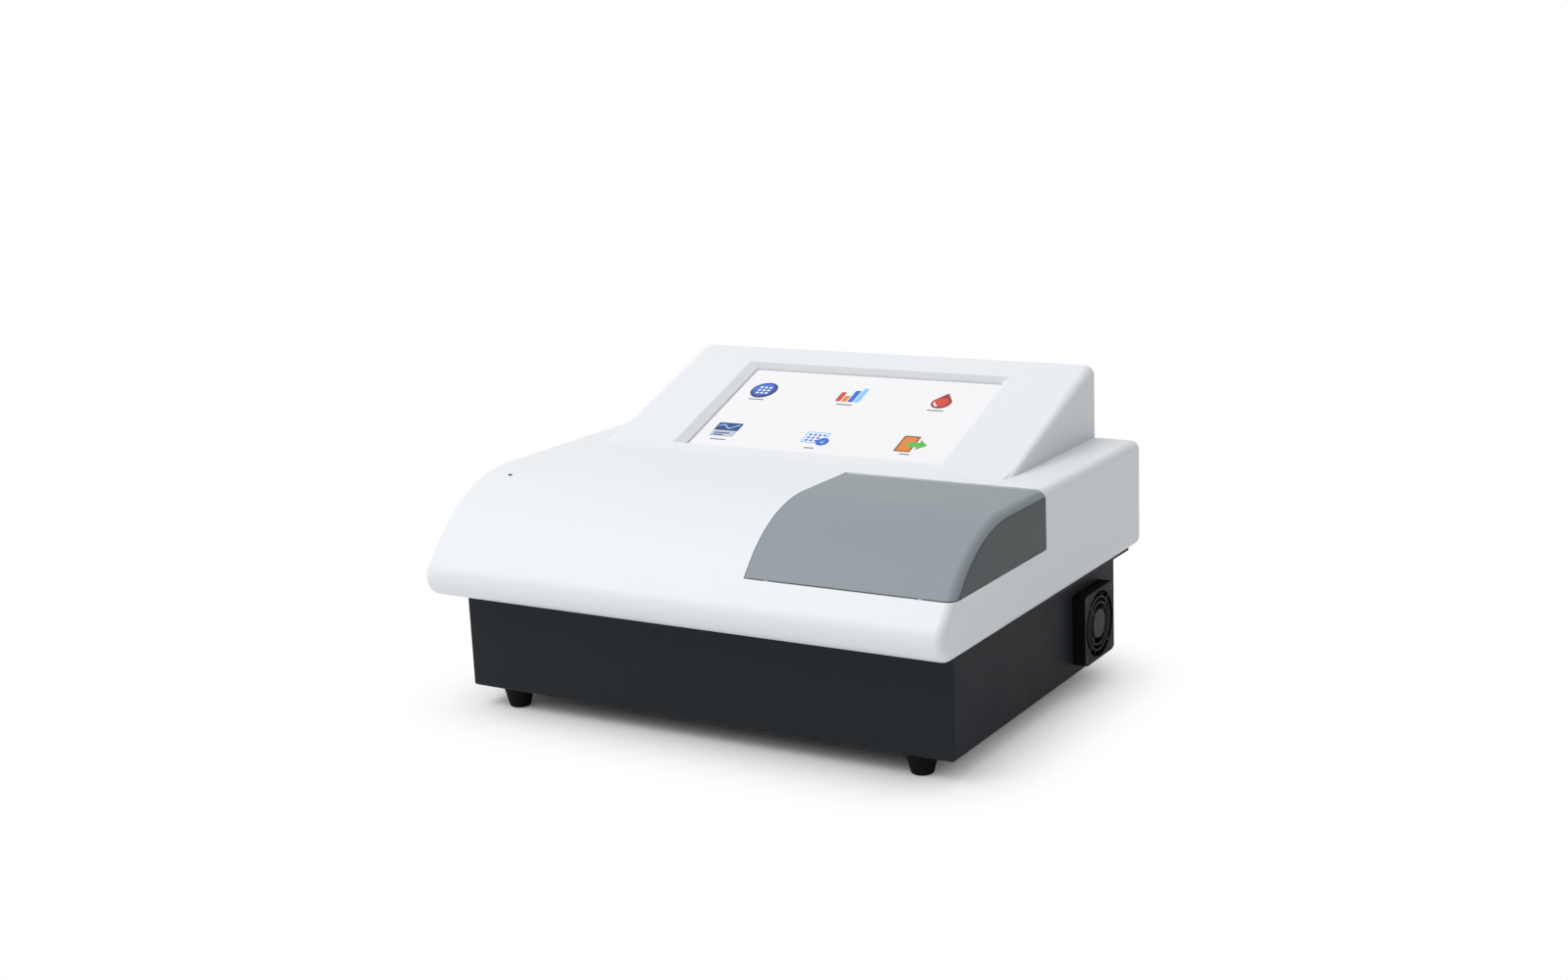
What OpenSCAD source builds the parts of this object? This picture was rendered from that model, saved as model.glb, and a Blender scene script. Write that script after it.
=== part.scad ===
// Bench microplate reader: moulded cover, sheet-metal base, lift-up lid over the plate bay,
// sloped touch screen, sliding plate carrier and eight-channel filter optics.
// X runs across the front, Y to the rear, Z up. The origin is on the bench, below the middle.

/* [Cover] */
// Width of the cover
cover_w = 440; // [420:1:470]
// Depth of the cover
cover_d = 348; // [335:1:370]
// Height of the cover's lower edge above the bench
cover_z0 = 95.5; // [90:0.5:105]
// Height of the flat deck above the bench
cover_z1 = 179.3; // [175:0.1:190]
// Wall of the moulded cover
cover_wall = 3; // [2.5:0.1:3.5]
// Radius of the cover's long side edges
cover_edge_r = 7; // [6:0.5:8]
// Radius of the rolled nose
nose_r = 15.5; // [14:0.5:18]
// Radius of the large curve between nose and deck
brow_r = 106; // [90:1:115]
// Direction that the straight slope between nose and curve faces, from level at the rear
brow_a = 137.4; // [130:0.1:145]

/* [Screen wedge] */
// Distance from the cover's side to the side of the wedge that holds the screen
wedge_inset = 38; // [30:1:50]
// Height of the wedge's top above the bench
wedge_z = 236.2; // [225:0.1:245]
// Distance from the lid's rear edge to the wedge's tip
tip_back = 24.2; // [18:0.1:32]
// Radius of the wedge's top corners, seen from the front
wedge_r = 8; // [6:0.5:10]
// Radius of the wedge's top and rear edges
wedge_edge_r = 3.5; // [3.2:0.1:5]
// Radius of the wedge's edges at its tip
wedge_tip_r = 4; // [4:0.5:6]
// Radius of the soft crease between deck and face
crease_r = 55; // [30:1:58]
// Width of the screen recess at the face
recess_w = 242; // [236:1:250]
// Distance from the wedge's tip up the face to the recess
recess_u = 11; // [10:0.5:14]
// Distance from the recess to the top of the face
recess_top = 22.9; // [18:0.1:30]
// Depth of the recess
recess_depth = 5; // [4:0.5:6]
// Width of the visible window
window_w = 228; // [222:1:232]
// Run of the recess's upper and lower walls
recess_slope = 2; // [1:0.5:4]

/* [Lid] */
// Distance from the cover's right face to the lid's left edge
lid_w = 162.1; // [155:0.1:170]
// Distance from the nose to the lid's rear edge
lid_run = 165.3; // [163:0.1:172]
// Height of the lid's lower edge above the bench
lid_z0 = 136.2; // [134:0.1:138]
// Wall of the lid
lid_wall = 2.5; // [2:0.1:2.8]
// Radius of the lid's rear edge, about the hinge line
hinge_r = 6; // [5.9:0.1:7]
// Radius of the hinge pins
hinge_pin_r = 1.5; // [1.2:0.1:1.6]
// Gap round the lid
lid_gap = 0.5; // [0.4:0.1:0.8]
// Gap below the lid
lid_rest_gap = 0.8; // [0.6:0.1:1]

/* [Base] */
// Distance from the cover's side to the base's side
base_inset = 11.7; // [5:0.1:20]
// Distance from the rear of the cover to the rear of the base
base_rear = 28.9; // [20:0.1:36]
// Distance from the nose to the front of the base
base_setback = 35.7; // [33:0.1:40]
// Thickness of the base's sheet
sheet = 1.5; // [1.2:0.1:2]
// Radius of the base's long bottom edges
base_r = 4; // [3:0.5:6]
// Thickness of the deck plate between base and cover
plate_t = 3; // [2:0.5:4]
// Distance that the deck plate stands out behind the base
plate_back = 18; // [10:1:22]
// Height of the rubber feet
foot_h = 15.9; // [14:0.1:20]
// Radius of a foot at the top
foot_r = 12; // [10:0.5:13]
// Radius of a foot at the bottom
foot_tip_r = 8.5; // [7:0.5:10]
// Distance of a foot's centre from the base's side
foot_inset_x = 32.6; // [25:0.1:45]
// Distance of a foot's centre from the base's front or rear
foot_inset_y = 15; // [13:0.5:30]

/* [Fan] */
// Width of the square fan
fan_w = 55; // [50:0.5:60]
// Thickness of the fan's frame
fan_t = 8.3; // [8:0.1:10]
// Thickness of the finger guard
guard_t = 2; // [1.6:0.1:2]
// Radius of the fan's round duct
duct_r = 25; // [23:0.1:25.5]
// Radius of the rotor's hub
rotor_hub_r = 11; // [9:0.5:13]
// Number of fan blades
blades = 7; // [5:1:9]
// Distance of the fan's centre from the base's rear
fan_back = 54.8; // [45:0.1:70]
// Height of the fan's centre above the bench
fan_z = 52.8; // [48:0.1:58]

/* [Plate carrier] */
// Length of a standard microplate, along the travel
sbs_l = 127.76; // [127.5:0.01:128]
// Width of a standard microplate
sbs_w = 85.48; // [85.2:0.01:85.8]
// Clearance round the plate in its nest
nest_gap = 0.25; // [0.15:0.01:0.5]
// Wall round the nest
nest_wall = 3; // [2.5:0.1:3.2]
// Distance from the rear of the cover to the ends of the guide rods
slide_back = 26.24; // [25.24:0.5:46.24]
// Radius of the guide rods
rod_r = 3; // [2.5:0.1:3.5]
// Distance from the carrier's middle to a guide rod
rod_off = 57; // [56:0.5:58]
// Height of the guide rods above the deck plate
rod_rise = 16.5; // [16:0.1:18]
// Running clearance of shafts, rods and pins
run_gap = 0.05; // [0.03:0.01:0.08]
// Number of teeth on a belt pulley
pulley_teeth = 24; // [20:1:26]
// Pitch of the belt's teeth
belt_pitch = 2; // [1.9:0.01:2.1]
// Width of the belt
belt_w = 5; // [4:0.5:5.5]

/* [Optics] */
// Distance from the bay's rear wall to the measuring line
read_y = 13; // [13:0.5:15]
// Number of channels
channels = 8; // [4:1:8]
// Distance between channels
channel_pitch = 9; // [8.5:0.1:9]
// Radius of a light guide
guide_r = 1; // [0.8:0.05:1.05]
// Radius of the filter wheel
wheel_r = 34; // [33:0.5:34]
// Radius of the circle of filters
filter_pcr = 24; // [23:0.5:25]
// Radius of a filter
filter_r = 6.25; // [5:0.05:6.4]
// Number of filters
filters = 8; // [4:1:8]

/* [Hidden] */
// Height of a form that is cut off by another one
tall = 2 * (cover_z0 - foot_h);
$fn = 48;
tiny = 0.01;
seat = 0.3;

// Cover profile, drawn in Y and Z
front_y = -cover_d / 2;
rear_y = cover_d / 2;
nose_c = [front_y + nose_r, cover_z0 + nose_r];
brow_cz = cover_z1 - brow_r;
brow_run = (nose_r - brow_r - (brow_cz - nose_c.y) * sin(brow_a)) / cos(brow_a);
brow_c = [nose_c.x + brow_run, brow_cz];
edge_steps = 5;
deck_under = cover_z1 - cover_wall;

// Wedge face: u runs up the face from the tip, n stands out of it
lid_y1 = front_y + lid_run;
tip_y = lid_y1 + tip_back;
wedge_w = cover_w - 2 * wedge_inset;
face_top = [rear_y - wedge_edge_r - tip_y, wedge_z - wedge_edge_r - cover_z1];
face_a = atan2(face_top.y, face_top.x) + asin(wedge_edge_r / norm(face_top));
face_l = sqrt(pow(norm(face_top), 2) - pow(wedge_edge_r, 2));
recess_h = face_l - recess_u - recess_top;
window_h = recess_h - 2 * recess_slope;
window_u = recess_u + recess_h / 2;
lip_t = 0.8;
seal_t = 0.6;
glass_t = 1.8;
panel_t = 5;
glass_n = recess_depth + lip_t + seal_t;
panel_n = glass_n + glass_t;
frame_n = panel_n + panel_t;
boss_x = window_w / 2 + 16;
boss_u = window_h / 2 - 15;

// Lid and bay
lid_x0 = cover_w / 2 - lid_w;
hinge_y = lid_y1 - hinge_r;
hinge_z = cover_z1 - hinge_r;
ear_r = hinge_r - lid_wall - 0.4;
knuckle_r = hinge_r - lid_wall - 0.1;
knuckle_w = 9;
ear_w = 6;
knuckle_gap = 0.4;
liner_t = 2;
bay_x0 = lid_x0 - lid_gap;
bay_x1 = cover_w / 2 - cover_wall - 4;
bay_y0 = front_y + 25;
bay_wall_y = hinge_y + 0.7;
floor_z = cover_z0 + 8;
floor_t = 1.5;
ledge_z = lid_z0 - lid_rest_gap;
ear_x = [bay_x0 + 20, bay_x1 - 20];
brow_p = nose_c + nose_r * [cos(brow_a), sin(brow_a)];
ledge_y = brow_p.x + (ledge_z - brow_p.y) / tan(brow_a - 90) + cover_wall / sin(brow_a - 90) / 2;

// Power indicator on the falling front of the deck
indicator_x = -cover_w / 2 + 28;
indicator_y = front_y + 78.8;
indicator_z = brow_c.y + sqrt(pow(brow_r, 2) - pow(indicator_y - brow_c.x, 2));
indicator_r = 1.5;

// Base
base_y0 = front_y + base_setback;
base_y1 = rear_y - base_rear;
base_w = cover_w - 2 * base_inset;
base_d = base_y1 - base_y0;
base_top = cover_z0 - plate_t;
flange_w = 14;
plate_y1 = base_y1 + plate_back;
plate_x = cover_w / 2 - cover_wall - 3;
plate_lap = 2;
flange_mid = sheet + flange_w / 2;
// Each cover screw: x, y and the way its rib runs to the nearest wall
cover_screws = [for (s = [-1, 1]) each [
    [s * (base_w / 2 - flange_mid), base_y0 + flange_mid, [s, 0]],
    [s * (base_w / 2 - flange_mid), base_y0 + 99, [s, 0]],
    [s * (base_w / 2 - flange_mid - 38), base_y1 - flange_mid, [0, 1]]
]];
lip_x = plate_x - plate_lap;
lip_y0 = base_y0 + plate_lap;
lip_y1 = plate_y1 - plate_lap;
fan_y = base_y1 - fan_back;
fan_hole = fan_w / 2 - 4.5;
blade_twist = 38;
foot_x = base_w / 2 - foot_inset_x;
foot_ys = [base_y0 + foot_inset_y, base_y1 - foot_inset_y];
vents = 12;
vent_pitch = 8;
vent_x = 95;

// Rear of the base; each port has the x of its middle, its width and its height
inlet_x = 58.3 - base_w / 2;
inlet_z = 50;
inlet_screws = [inlet_x - 20, inlet_x + 20];
switch_x = inlet_x + 50;
rocker_tilt = 9;
port_places = [[40, 31, 12.5], [80, 15, 7.5], [104, 15, 7.5]];

// Power supply and main board on the base's floor
psu_x0 = 13.3 - base_w / 2;
psu_x1 = psu_x0 + 98;
psu_y1 = base_y1 - 35.1;
psu_y0 = psu_y1 - 100;
psu_z = foot_h + sheet;
board_x0 = -53;
board_x1 = board_x0 + 198;
board_y0 = base_y0 + 33.3;
board_y1 = board_y0 + 126;
board_z = foot_h + sheet + 8;
board_t = 1.6;
board_holes = [for (x = [board_x0 + 5, board_x1 - 5], y = [board_y0 + 5, board_y1 - 5]) [x, y]];

// Carrier
mid_x = (bay_x0 + bay_x1) / 2;
nest_l = sbs_l + 2 * nest_gap;
nest_w = sbs_w + 2 * nest_gap;
carrier_l = nest_l + 2 * nest_wall;
carrier_y = bay_y0 + 1.5 + carrier_l / 2;
rod_z = cover_z0 + rod_rise;
block_w = 18;
block_h = 13;
block_l = 60;
block_bot = rod_z - block_h / 2;
nest_t = 3;
nest_z = rod_z + block_h / 2;
nest_rim = 5;
bush_r = rod_r + 2;
rod_y0 = bay_y0 + 0.5;
rod_y1 = rear_y - slide_back;
travel = rod_y1 - 11 - carrier_l / 2 - carrier_y;
mount_l = 9;
liner_legs = [for (x = [mid_x - 20, mid_x + 30], y = [carrier_y - 25, carrier_y + 48]) [x, y]];
flag_x = mid_x + rod_off + block_w / 2;
sensor_y = carrier_y + block_l / 2 - 8 + travel;

// Belt drive
pulley_pr = pulley_teeth * belt_pitch / (2 * PI);
pulley_r = pulley_pr - 0.25;
belt_in = pulley_r + 0.3;
belt_t = 0.7;
belt_z = cover_z0 + 1.5;
belt_x = mid_x - rod_off + 0.25 - belt_in - belt_t / 2;
strand_x = belt_x + belt_in;
idler_y = carrier_y - 28;
clamp_t = 3.3;
clamp_l = 14;
clamp_holes = [-4, 4];
clamp_z = block_bot - 1.6;
motor_w = 42;
motor_h = 34;
drive_y = base_y1 - sheet - flange_w - motor_w / 2 - 2;
shaft_r = 2.5;
shaft_top = belt_z + belt_w + 0.5;

// Optics
line_y = bay_wall_y + liner_t + read_y;
lens_z = nest_z + 19.5;
lens_h = 14;
guide_pitch = 2 * guide_r + 0.2;
guide_z0 = lens_z + lens_h + 6.5;
bend_r = 5;
beam_z = guide_z0 + guide_pitch * (channels - 1) / 2;
wheel_z = beam_z - filter_pcr;
wheel_x = lid_x0 - 36;
wheel_t = 6;
brk_x = wheel_x + wheel_t + 3;
brk_t = 2.5;
coupler_x = brk_x + brk_t;
coupler_t = 8;
det_z = cover_z0 + 3;
post_x = [mid_x - rod_off - 19.5, mid_x + rod_off + 17];
post_t = 2.5;
bridge_z = lens_z + lens_h + post_t;
lamp_x0 = wheel_x - 68;
lamp_x1 = wheel_x - 8;

function arc(c, r, a0, a1, n) =
    [for (i = [0:n]) c + r * [cos(a0 + (a1 - a0) * i / n), sin(a0 + (a1 - a0) * i / n)]];

// Outline of the cover in Y and Z, drawn in by e
function cover_outline(e) = concat(
    arc(nose_c, nose_r - e, 270, brow_a, 14),
    arc(brow_c, brow_r - e, brow_a, 90, 12),
    arc([rear_y - cover_edge_r, cover_z1 - cover_edge_r], cover_edge_r - e, 90, 0, 5),
    arc([rear_y - cover_edge_r, cover_z0 + cover_edge_r], cover_edge_r - e, 0, -90, 5)
);

// Extrude a Y and Z outline across X, centred
module across_x(w) {
    rotate([90, 0, 90]) linear_extrude(w, center = true) children();
}

// Extrude a Y and Z outline from x0 to x1
module from_x(x0, x1) {
    translate([x0, 0, 0]) rotate([90, 0, 90]) linear_extrude(x1 - x0) children();
}

// Extrude an X and Z outline from y0 to y1
module from_y(y0, y1) {
    translate([0, y1, 0]) rotate([90, 0, 0]) linear_extrude(y1 - y0) children();
}

// Box between two corners
module box(a, b) {
    translate(a) cube(b - a);
}

// Cylinder along X between x0 and x1
module rod_x(r, x0, x1, y, z) {
    translate([x0, y, z]) rotate([0, 90, 0]) cylinder(r = r, h = x1 - x0);
}

// Cylinder along Y between y0 and y1
module rod_y(r, y0, y1, x, z) {
    translate([x, y0, z]) rotate([-90, 0, 0]) cylinder(r = r, h = y1 - y0);
}

// Cylinder along Z between z0 and z1
module rod_z(r, z0, z1, x, y) {
    translate([x, y, z0]) cylinder(r = r, h = z1 - z0);
}

// Rectangle with round corners, centred, made of exact circles
module round_rect(w, h, r) {
    square([w - 2 * r, h], center = true);
    square([w, h - 2 * r], center = true);
    for (x = [-1, 1], y = [-1, 1]) translate([x * (w / 2 - r), y * (h / 2 - r)]) circle(r);
}

// Closed form of the cover below the deck, drawn in by e, with round side edges
module cover_form(e) {
    r = cover_edge_r - e;
    hull() for (i = [0:edge_steps]) {
        t = 90 * i / edge_steps;
        across_x(cover_w - 2 * e - 2 * r * (1 - sin(t))) polygon(cover_outline(e + r * (1 - cos(t))));
    }
}

// Move into the wedge's face: x across, y up the face, z out of it
module on_face() {
    translate([0, tip_y, cover_z1]) rotate([face_a, 0, 0]) children();
}

// Closed form of the screen wedge, drawn in by e
module wedge_form(e) {
    hull() for (s = [-1, 1]) {
        on_face() translate([s * (wedge_w / 2 - wedge_tip_r), 1, -wedge_tip_r])
            sphere(wedge_tip_r - e, $fn = 24);
        for (a = [0:15:90])
            translate([s * (wedge_w / 2 - wedge_r + (wedge_r - wedge_edge_r) * cos(a)),
                rear_y - wedge_edge_r, wedge_z - wedge_r + (wedge_r - wedge_edge_r) * sin(a)])
                sphere(wedge_edge_r - e, $fn = 24);
        translate([s * (wedge_w / 2 - wedge_edge_r), rear_y - wedge_edge_r, cover_z1 - 20])
            cylinder(r = wedge_edge_r - e, h = 1, $fn = 24);
    }
}

// Concave fillet where the deck turns up into the face
module crease() {
    run = crease_r * tan(face_a / 2);
    across_x(wedge_w - 2 * wedge_tip_r) polygon(concat(
        arc([tip_y - run, cover_z1 + crease_r], crease_r, -90, -90 + face_a, 6),
        [[tip_y, cover_z1 - 1], [tip_y - run, cover_z1 - 1]]));
}

// Sloping walls of the screen recess, from its mouth down to the window
module recess() {
    on_face() translate([0, window_u, 0]) {
        hull() {
            translate([0, 0, tiny]) cube([recess_w, recess_h, tiny], center = true);
            translate([0, 0, -recess_depth]) cube([window_w, window_h, tiny], center = true);
        }
        translate([0, 0, -recess_depth - 2]) cube([window_w, window_h, 4], center = true);
    }
}

// Axes of the four screws that hold the display, square to the face
module at_display_bosses() {
    on_face() for (x = [-boss_x, boss_x], u = [window_u - boss_u, window_u + boss_u])
        translate([x, u, 0]) children();
}

// Upright axes of the screws that hold the cover
module at_cover_screws() {
    for (p = cover_screws) translate([p[0], p[1], 0]) children();
}

// Boss of one cover screw
module cover_boss(p) {
    rod_z(5, cover_z0, floor_z - 0.5, p[0], p[1]);
}

// Rib from that boss out to the middle of the wall
module cover_rib(p) {
    far = p[2].x != 0 ? [p[2].x * (cover_w / 2 - cover_wall / 2), p[1]] : [p[0], rear_y - cover_wall / 2];
    w = [abs(p[2].y), abs(p[2].x)] * 3;
    box([min(p[0], far.x) - w.x, min(p[1], far.y) - w.y, cover_z0],
        [max(p[0], far.x) + w.x, max(p[1], far.y) + w.y, cover_z0 + 5]);
}

module top_cover() color("white") difference() {
    union() {
        cover_shell();
        for (p = cover_screws) cover_boss(p);
        intersection() {
            for (p = cover_screws) cover_rib(p);
            cover_form(cover_wall / 2);
        }
    }
    at_cover_screws() translate([0, 0, cover_z0 - 1]) cylinder(r = 1.5, h = 7);
}

module cover_shell() difference() {
    union() {
        difference() {
            union() {
                cover_form(0);
                wedge_form(0);
                crease();
            }
            cover_form(cover_wall);
            wedge_form(cover_wall);
        }
        on_face() translate([0, window_u, -(recess_depth + lip_t) / 2 - 1])
            cube([recess_w + 5, recess_h + 5, recess_depth + lip_t - 2], center = true);
        at_display_bosses() translate([0, 0, -frame_n]) cylinder(r = 4, h = frame_n - 1);
        rod_z(4, deck_under - 14, deck_under - 1, indicator_x, indicator_y);
    }
    box([-lip_x, lip_y0, cover_z0 - 1], [lip_x, lip_y1, cover_z0 + cover_wall + 1]);
    box([bay_x0, front_y - 1, ledge_z], [cover_w / 2 + 1, lid_y1 + lid_gap, cover_z1 + 1]);
    recess();
    at_display_bosses() translate([0, 0, -frame_n - 1]) cylinder(r = 1.2, h = 8);
    rod_z(indicator_r + 0.1, deck_under - 20, cover_z1 + 1, indicator_x, indicator_y);
}

module power_indicator() color([0.1, 0.12, 0.14])
    rod_z(indicator_r, deck_under - 17.5, indicator_z + 0.35, indicator_x, indicator_y);

module indicator_board() color("darkgreen") difference() {
    box([indicator_x - 12, indicator_y - 7, deck_under - 15.6],
        [indicator_x + 8, indicator_y + 7, deck_under - 14]);
    rod_z(indicator_r + 0.1, deck_under - 20, deck_under, indicator_x, indicator_y);
}

// Outer form of the base: plan with small corners, long bottom edges rounded
module base_form(e, z1) intersection() {
    translate([0, (base_y0 + base_y1) / 2, foot_h + e]) linear_extrude(z1 - foot_h - e)
        round_rect(base_w - 2 * e, base_d - 2 * e, max(2 - e, 0.5));
    from_y(base_y0, base_y1) translate([0, foot_h + e + tall / 2])
        round_rect(base_w - 2 * e, tall, base_r - e / 2);
    across_x(base_w) translate([(base_y0 + base_y1) / 2, foot_h + e + tall / 2])
        round_rect(base_d - 2 * e, tall, base_r - e / 2);
}

module base_chassis() color([0.13, 0.14, 0.16]) difference() {
    base_form(0, base_top);
    base_form(sheet, base_top - sheet);
    box([-base_w / 2 + sheet + flange_w, base_y0 + sheet + flange_w, base_top - sheet - 1],
        [base_w / 2 - sheet - flange_w, base_y1 - sheet - flange_w, base_top + 1]);
    rod_x(duct_r - 1, base_w / 2 - 10, base_w / 2 + 10, fan_y, fan_z);
    at_fan_holes() translate([0, 0, -10]) cylinder(r = 1.25, h = 20);
    for (x = [-foot_x, foot_x], y = foot_ys) rod_z(2.2, 0, foot_h + 10, x, y);
    at_cover_screws() translate([0, 0, base_top - 10]) cylinder(r = 1.8, h = 20);
    translate([inlet_x, base_y1 - 10, inlet_z]) box([-14, 0, -10.5], [14, 20, 10.5]);
    for (x = inlet_screws) rod_y(1.6, base_y1 - 10, base_y1 + 10, x, inlet_z);
    translate([switch_x, base_y1 - 10, inlet_z]) box([-9.7, 0, -6.7], [9.7, 20, 6.7]);
    for (p = port_places) translate([p.x, base_y1 - 10, inlet_z])
        box([-p.y / 2 - 0.3, 0, -p.z / 2 - 0.3], [p.y / 2 + 0.3, 20, p.z / 2 + 0.3]);
    for (i = [0:vents - 1], s = [-1, 1])
        translate([s * vent_x + (i - (vents - 1) / 2) * vent_pitch, base_y0 + 75, foot_h - 5])
            box([-1.5, -25, 0], [1.5, 25, 20]);
}

module deck_plate() color([0.16, 0.17, 0.19]) difference() {
    translate([0, 0, base_top]) linear_extrude(plate_t)
        translate([0, (base_y0 + plate_y1) / 2]) round_rect(2 * plate_x, plate_y1 - base_y0, 3);
    at_cover_screws() translate([0, 0, base_top - 10]) cylinder(r = 1.8, h = 20);
    rod_z(11.2, base_top - 1, cover_z0 + 1, belt_x, drive_y);
    rod_z(2.6, base_top - 1, cover_z0 + 1, belt_x, idler_y);
    box([psu_x0 + 45, psu_y1 - 50, base_top - 1], [psu_x1 + 7, psu_y1, cover_z0 + 1]);
    box([board_x0 - 7, board_y0 + 15, base_top - 1], [board_x0 + 73, board_y0 + 55, cover_z0 + 1]);
    for (p = liner_legs) rod_z(1.6, base_top - 1, cover_z0 + 1, p.x, p.y);
}

module bay_liner() color([0.2, 0.21, 0.23]) difference() {
    union() {
        difference() {
            intersection() {
                union() {
                    box([bay_x0 - liner_t, bay_y0 - liner_t, floor_z],
                        [bay_x1 + liner_t, bay_wall_y + liner_t, ledge_z - seat]);
                    box([bay_x0, bay_y0 - liner_t - 1.2, ledge_z - 2],
                        [bay_x1 + liner_t + 1.7, bay_wall_y + liner_t, ledge_z - seat]);
                    box([bay_x0 - liner_t, front_y, ledge_z - 4], [bay_x0, bay_wall_y + liner_t, cover_z1]);
                    box([bay_x0 - liner_t, bay_wall_y, floor_z],
                        [bay_x1 + liner_t, bay_wall_y + liner_t, hinge_z - hinge_r - 1.3]);
                }
                cover_form(cover_wall + seat);
            }
            box([bay_x0, bay_y0, floor_z + floor_t], [bay_x1, bay_wall_y, cover_z1]);
        }
        for (x = ear_x) {
            from_x(x - ear_w / 2, x + ear_w / 2) {
                translate([hinge_y - ear_r - 3.2, hinge_z - 20]) square([ear_r + 2.2, 22]);
                translate([hinge_y - ear_r - 3.2, hinge_z - 22]) square([ear_r + 4.5, 12]);
                translate([hinge_y, hinge_z]) circle(ear_r);
            }
        }
        for (p = liner_legs) rod_z(4, cover_z0, floor_z + 1, p.x, p.y);
    }
    box([mid_x - rod_off - 18, bay_wall_y - 1, floor_z + floor_t],
        [mid_x + rod_off + 18, bay_wall_y + liner_t + 1, ledge_z - seat + tiny]);
    box([strand_x - 4.8, carrier_y - 9, floor_z - 1],
        [strand_x + 6.8, bay_wall_y + 3, floor_z + floor_t + 1]);
    for (x = ear_x) rod_x(hinge_pin_r + tiny, x - 20, x + 20, hinge_y, hinge_z);
    for (p = liner_legs) rod_z(1.2, cover_z0 - 1, floor_z - 0.5, p.x, p.y);
}

module hinge_pins() color("silver") for (x = ear_x)
    rod_x(hinge_pin_r, x - ear_w / 2 - knuckle_w, x + ear_w / 2 + knuckle_w, hinge_y, hinge_z);

// Side outline of the lid, round about the hinge line at its rear edge
module lid_outline() {
    translate([front_y - 1, lid_z0]) square([hinge_y - front_y + 1, cover_z1 - lid_z0 + 1]);
    translate([hinge_y - 1, lid_z0]) square([hinge_r + 1, hinge_z - lid_z0]);
    translate([hinge_y, hinge_z]) circle(hinge_r, $fn = 64);
}

// Knuckle of the lid, hung from its top
module knuckle(x0) from_x(x0, x0 + knuckle_w) {
    translate([hinge_y, hinge_z]) circle(knuckle_r);
    translate([hinge_y - 3.4, hinge_z]) square([6.8, hinge_r - lid_wall + 0.5]);
}

module lid() color([0.6, 0.64, 0.66]) difference() {
    union() {
        difference() {
            intersection() {
                cover_form(0);
                from_x(lid_x0, cover_w / 2 + 1) lid_outline();
            }
            intersection() {
                cover_form(lid_wall);
                from_x(lid_x0 + 2, cover_w / 2) {
                    translate([front_y - 1, lid_z0 - 1])
                        square([hinge_y - front_y + 1, cover_z1 - lid_z0 + 2]);
                    translate([hinge_y - 1, lid_z0 - 1]) square([hinge_r + 2, hinge_z - lid_z0 + 1]);
                    translate([hinge_y, hinge_z]) circle(hinge_r - lid_wall, $fn = 64);
                }
            }
            box([lid_x0 - 1, hinge_y - 2, lid_z0 - 1], [cover_w / 2 - lid_wall, lid_y1 + 1, hinge_z]);
        }
        for (x = ear_x) {
            knuckle(x - ear_w / 2 - knuckle_gap - knuckle_w);
            knuckle(x + ear_w / 2 + knuckle_gap);
        }
    }
    for (x = ear_x) rod_x(hinge_pin_r + run_gap, x - 20, x + 20, hinge_y, hinge_z);
}

module lid_bumpers() color("black") {
    for (x = [bay_x0 + 18, bay_x1 - 18]) rod_z(1.6, ledge_z, lid_z0 - 0.1, x, ledge_y);
    rod_z(1.2, ledge_z, lid_z0 - 0.1, cover_w / 2 - cover_wall / 2, (bay_y0 + bay_wall_y) / 2);
}

// Half-round edge of a rubber foot runs from its tip to its side
module feet() color([0.08, 0.08, 0.08]) for (x = [-foot_x, foot_x], y = foot_ys) translate([x, y, 0])
    rotate_extrude($fn = 64) polygon(concat(
        [[2.3, 7], [5, 7], [5, 0], [foot_tip_r - 2, 0]],
        arc([foot_tip_r - 2, 2], 2, -60, 0, 4),
        [[foot_r, foot_h], [2.3, foot_h]]));

module foot_screws() color("silver") for (x = [-foot_x, foot_x], y = foot_ys) {
    rod_z(4, 4.4, 7, x, y);
    rod_z(2, 6.9, foot_h + 6, x, y);
}

module case_screws() color("silver") {
    at_cover_screws() {
        translate([0, 0, base_top - sheet - 2]) cylinder(r = 3, h = 2);
        translate([0, 0, base_top - sheet - 0.1]) cylinder(r = 1.4, h = plate_t + sheet + 5);
    }
    for (p = liner_legs) {
        rod_z(2.8, base_top - 1.8, base_top, p.x, p.y);
        rod_z(1.1, base_top - 0.1, cover_z0 + 6, p.x, p.y);
    }
    for (x = inlet_screws) {
        rod_y(2.8, base_y1 + 2.5, base_y1 + 4, x, inlet_z);
        rod_y(1.5, base_y1 - 4, base_y1 + 2.6, x, inlet_z);
    }
}

module touch_glass() color([0.95, 0.96, 0.97]) on_face()
    translate([0, window_u, -panel_n]) linear_extrude(glass_t) round_rect(window_w + 8, window_h + 8, 2);

module screen_seal() color([0.12, 0.12, 0.13]) on_face()
    translate([0, window_u, -glass_n]) linear_extrude(seal_t) difference() {
        round_rect(window_w + 8, window_h + 8, 2);
        square([window_w - 1.2, window_h - 1.2], center = true);
    }

module display_panel() color("gray") on_face()
    translate([-(window_w + 8) / 2, window_u - window_h / 2 - 6, -frame_n])
        cube([window_w + 8, window_h + 12, panel_t]);

module display_frame() color("silver") difference() {
    on_face() translate([0, window_u, -frame_n - 1.5]) linear_extrude(1.5) difference() {
        round_rect(2 * boss_x + 12, window_h + 12, 3);
        square([window_w - 30, window_h - 30], center = true);
    }
    at_display_bosses() translate([0, 0, -frame_n - 3]) cylinder(r = 1.6, h = 6);
}

module display_screws() color("silver") at_display_bosses() {
    translate([0, 0, -frame_n - 3.5]) cylinder(r = 2.8, h = 2);
    translate([0, 0, -frame_n - 1.6]) cylinder(r = 1.1, h = 7);
}

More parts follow.
